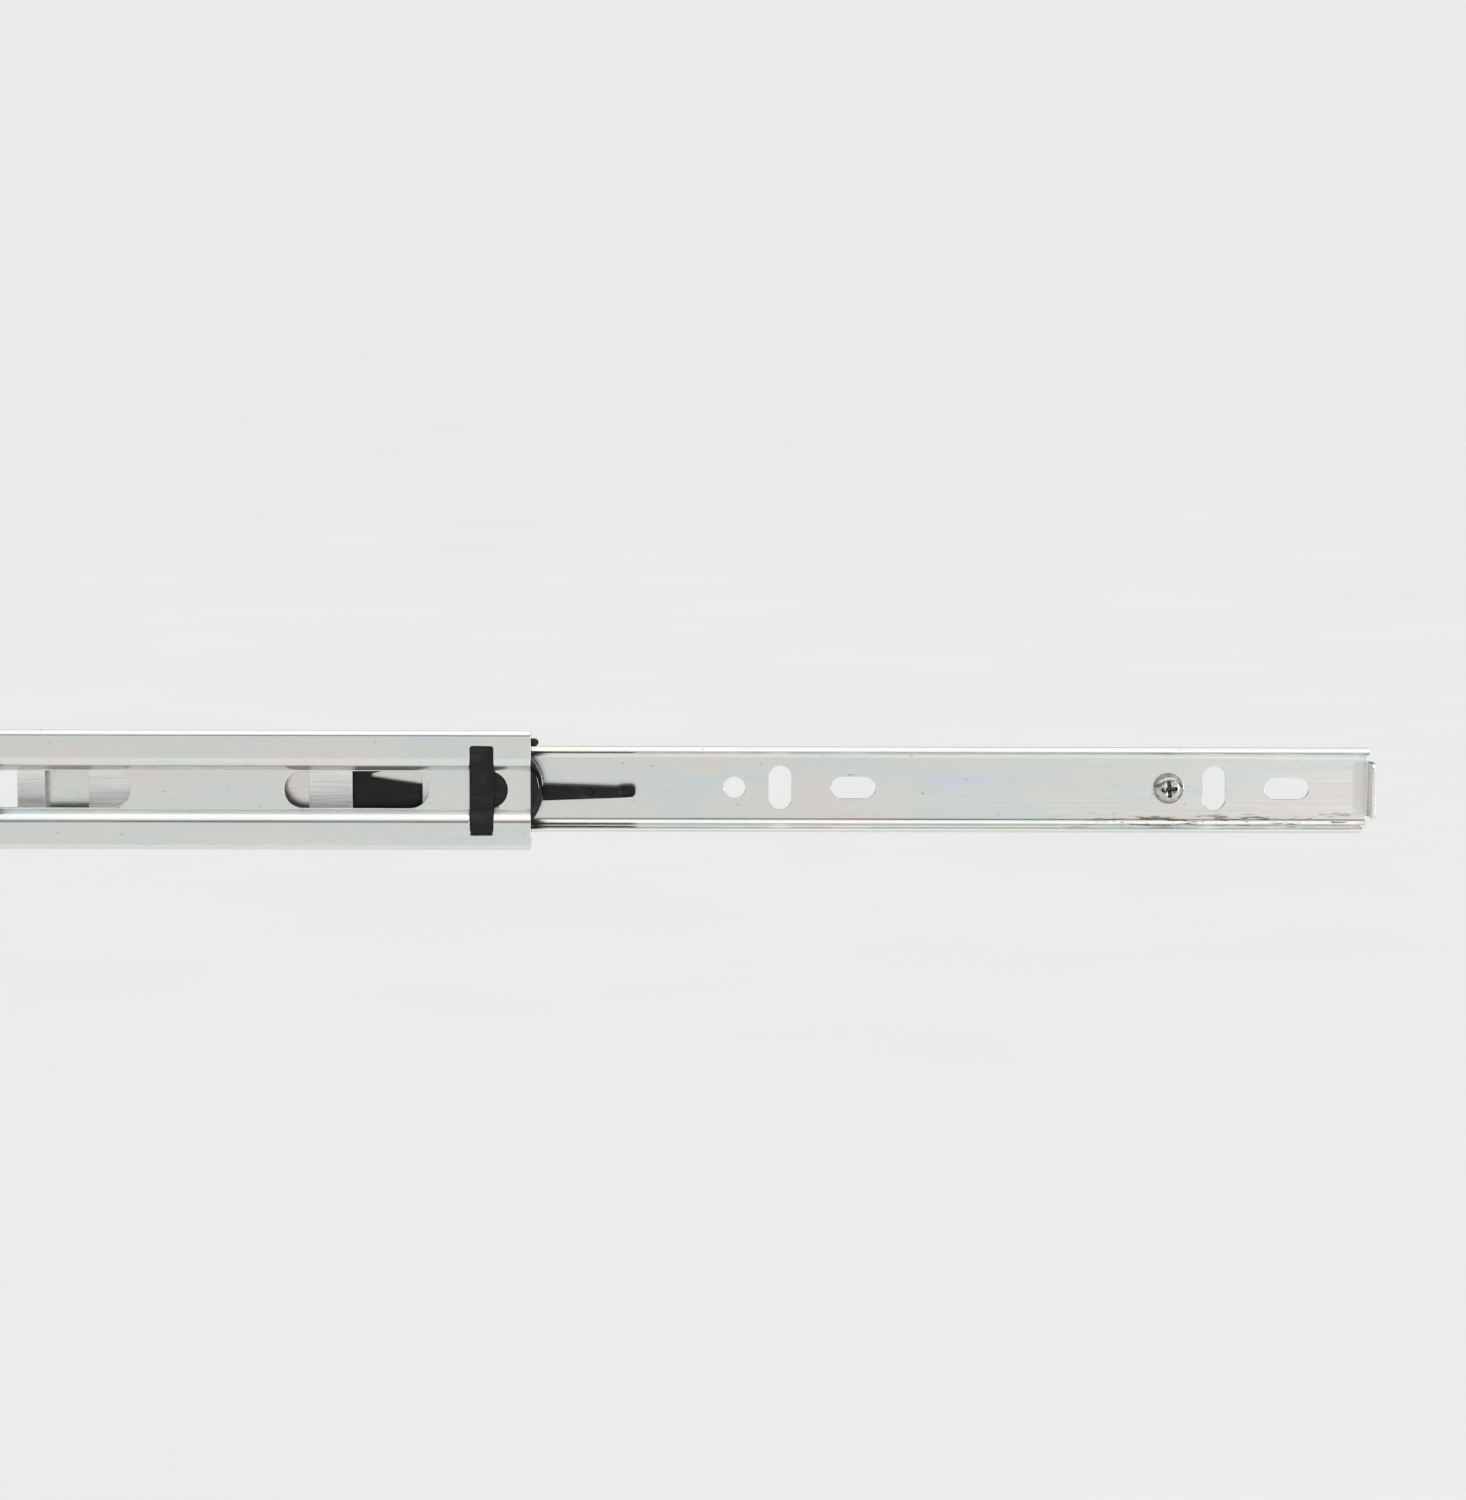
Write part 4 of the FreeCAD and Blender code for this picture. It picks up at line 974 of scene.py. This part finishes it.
def make_drawer_screw():
    """Pan head with a tapered cross recess, plain neck, thread and point."""
    low, high = box_mm("drawer_screw")
    x = (low.x + high.x) / 2
    seat = DRAWER_WEB_Y
    radius = (high.x - low.x) / 2
    crown = outline([
        (0.0, low.y),
        (2.4, low.y),
        (2.9, low.y + 0.08, 1.6, 1),
        (radius, seat - 1.0, 2.3, 1),
    ])
    rim = 0.1
    neck = THREAD_CREST
    neck_end = seat + 1.6
    core = 2.2                  # just inside the thread's own core
    profile = [tuple(point) for point in crown]
    profile += [(radius, seat - rim), (radius - rim, seat), (neck, seat), (neck, neck_end),
                (core, neck_end + 0.6), (core, high.y - 1.6), (0.9, high.y - 0.2), (0.0, high.y)]
    piece = spin("drawer_screw_plated", profile, x, 0.0)
    turn = math.radians(5)
    recess = loft("recess", [   # arm and half width shrink with depth
        (low.y - 0.5, cross_loop(x, 2.55, 0.62, turn)),
        (low.y + 1.1, cross_loop(x, 2.0, 0.48, turn)),
        (low.y + 1.7, cross_loop(x, 0.8, 0.35, turn)),
    ], "y")
    combine(piece, recess, "DIFFERENCE")
    add_thread(piece, x, neck_end, high.y - 1.7)
    place(piece, "drawer_screw", "drawer", SCREW_STEEL, edge=0.06)


def dress_kept_nodes():
    """Materials and softened edges of the CAD nodes whose shape stays as it is."""
    finishes = {
        "outer_balls_upper": BALL_STEEL,
        "outer_balls_lower": BALL_STEEL,
        "inner_balls_upper": BALL_STEEL,
        "inner_balls_lower": BALL_STEEL,
        "lever_pin": RIVET_STEEL,
        "rear_bumper_rivet": RIVET_STEEL,
        "rear_guide_rivet": RIVET_STEEL,
        "cabinet_rear_bumper": BLACK_PLASTIC,
        "middle_rear_guide": BLACK_PLASTIC,
    }
    for node, material in finishes.items():
        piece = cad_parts[node]
        piece.data.materials.clear()
        piece.data.materials.append(material)
    for node in ("cabinet_rear_bumper", "middle_rear_guide"):
        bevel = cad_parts[node].modifiers.new("edges", "BEVEL")
        bevel.width = 0.25 * MM
        bevel.segments = 3
        bevel.limit_method = "ANGLE"
        bevel.angle_limit = math.radians(40)


# ---------------------------------------------------------------- stage

# Metres, except the lens and its sensor

FLOOR_Z = -0.30
FLOOR_RADIUS = 60.0
SCENE_MIDDLE_X = 0.3
BACKDROP = 0.83
CAMERA_PLACE = (0.3912, -1.2625, 0.1506)
CAMERA_YAW = math.radians(-1.08)
CAMERA_DIP = math.radians(6.245)
CAMERA_ROLL = math.radians(0.239)
LENS = 104.6
SENSOR_WIDTH = 36.0


def make_floor():
    """A wide pale floor."""
    mesh = bmesh.new()
    bmesh.ops.create_circle(mesh, cap_ends=True, radius=FLOOR_RADIUS, segments=96)
    floor = new_object("floor", mesh)
    floor.location = (SCENE_MIDDLE_X, 0.0, FLOOR_Z)
    material, tree, shader = new_material("floor_paper")
    mottle = noise(tree, (3, 3, 3), detail=2.0)
    tree.links.new(ramp(tree, mottle, [
        (0.3, (0.83, 0.83, 0.825)),
        (0.7, (0.85, 0.85, 0.845)),
    ]), shader.inputs["Base Color"])
    shader.inputs["Roughness"].default_value = 0.9
    shader.inputs["Specular IOR Level"].default_value = 0.1
    floor.data.materials.append(material)


def make_world():
    """A studio: bright overhead, dim just above the horizon; the camera sees an even backdrop."""
    world = bpy.data.worlds.new("studio")
    world.use_nodes = True
    bpy.context.scene.world = world
    tree = world.node_tree
    background = tree.nodes["Background"]
    coordinates = tree.nodes.new("ShaderNodeTexCoord")
    split = tree.nodes.new("ShaderNodeSeparateXYZ")
    tree.links.new(coordinates.outputs["Generated"], split.inputs["Vector"])
    height = remap(tree, split.outputs["Z"], -1.0, 1.0, 0.0, 1.0)
    sky = ramp(tree, height, [
        (0.00, (0.80, 0.80, 0.80)),
        (0.49, (0.80, 0.80, 0.80)),
        (0.53, (0.05, 0.05, 0.05)),
        (0.64, (0.10, 0.10, 0.10)),
        (0.76, (1.03, 1.04, 1.05)),
        (1.00, (1.12, 1.12, 1.12)),
    ])
    rays = tree.nodes.new("ShaderNodeLightPath")
    mix = tree.nodes.new("ShaderNodeMix")
    mix.data_type = "RGBA"
    mix.inputs[7].default_value = (BACKDROP, BACKDROP, BACKDROP, 1.0)
    tree.links.new(rays.outputs["Is Camera Ray"], mix.inputs["Factor"])
    tree.links.new(sky, mix.inputs[6])
    tree.links.new(mix.outputs[2], background.inputs["Color"])
    background.inputs["Strength"].default_value = 1.0


def add_lamp(name, kind, energy):
    """A lamp and the object that holds it."""
    lamp = bpy.data.lights.new(name, kind)
    lamp.energy = energy
    holder = bpy.data.objects.new(name, lamp)
    bpy.context.scene.collection.objects.link(holder)
    return lamp, holder


def make_lights():
    """A very wide, weak lamp high in front of the slide, and a small window at its right."""
    lamp, holder = add_lamp("wide_key", "SUN", 0.3)
    lamp.angle = math.radians(90)
    holder.rotation_euler = (math.radians(28), math.radians(-14), 0.0)

    lamp, holder = add_lamp("window", "AREA", 5.0)
    lamp.shape = "RECTANGLE"
    lamp.size = 0.10
    lamp.size_y = 0.26
    holder.location = (1.36, -1.25, 0.02)
    holder.visible_camera = False
    target = Vector((0.36, 0.0, 0.0))
    holder.rotation_euler = (target - holder.location).to_track_quat("-Z", "Y").to_euler()


def make_camera():
    """The view from the front, a little above the slide."""
    data = bpy.data.cameras.new("camera")
    data.lens = LENS
    data.sensor_width = SENSOR_WIDTH
    camera = bpy.data.objects.new("camera", data)
    turned = Matrix.Rotation(CAMERA_YAW, 4, "Z")
    tilted = Matrix.Rotation(math.radians(90) - CAMERA_DIP, 4, "X")
    levelled = Matrix.Rotation(CAMERA_ROLL, 4, "Z")
    camera.matrix_world = Matrix.Translation(CAMERA_PLACE) @ turned @ tilted @ levelled
    bpy.context.scene.collection.objects.link(camera)
    bpy.context.scene.camera = camera


make_cabinet_rail()
make_middle_rail()
make_drawer_rail()
make_inner_cage()
make_outer_cage()
make_cage_tip()
make_guide_block()
make_release_lever()
make_drawer_screw()
dress_kept_nodes()
make_floor()
make_world()
make_lights()
make_camera()
bpy.context.scene.view_settings.view_transform = "Standard"
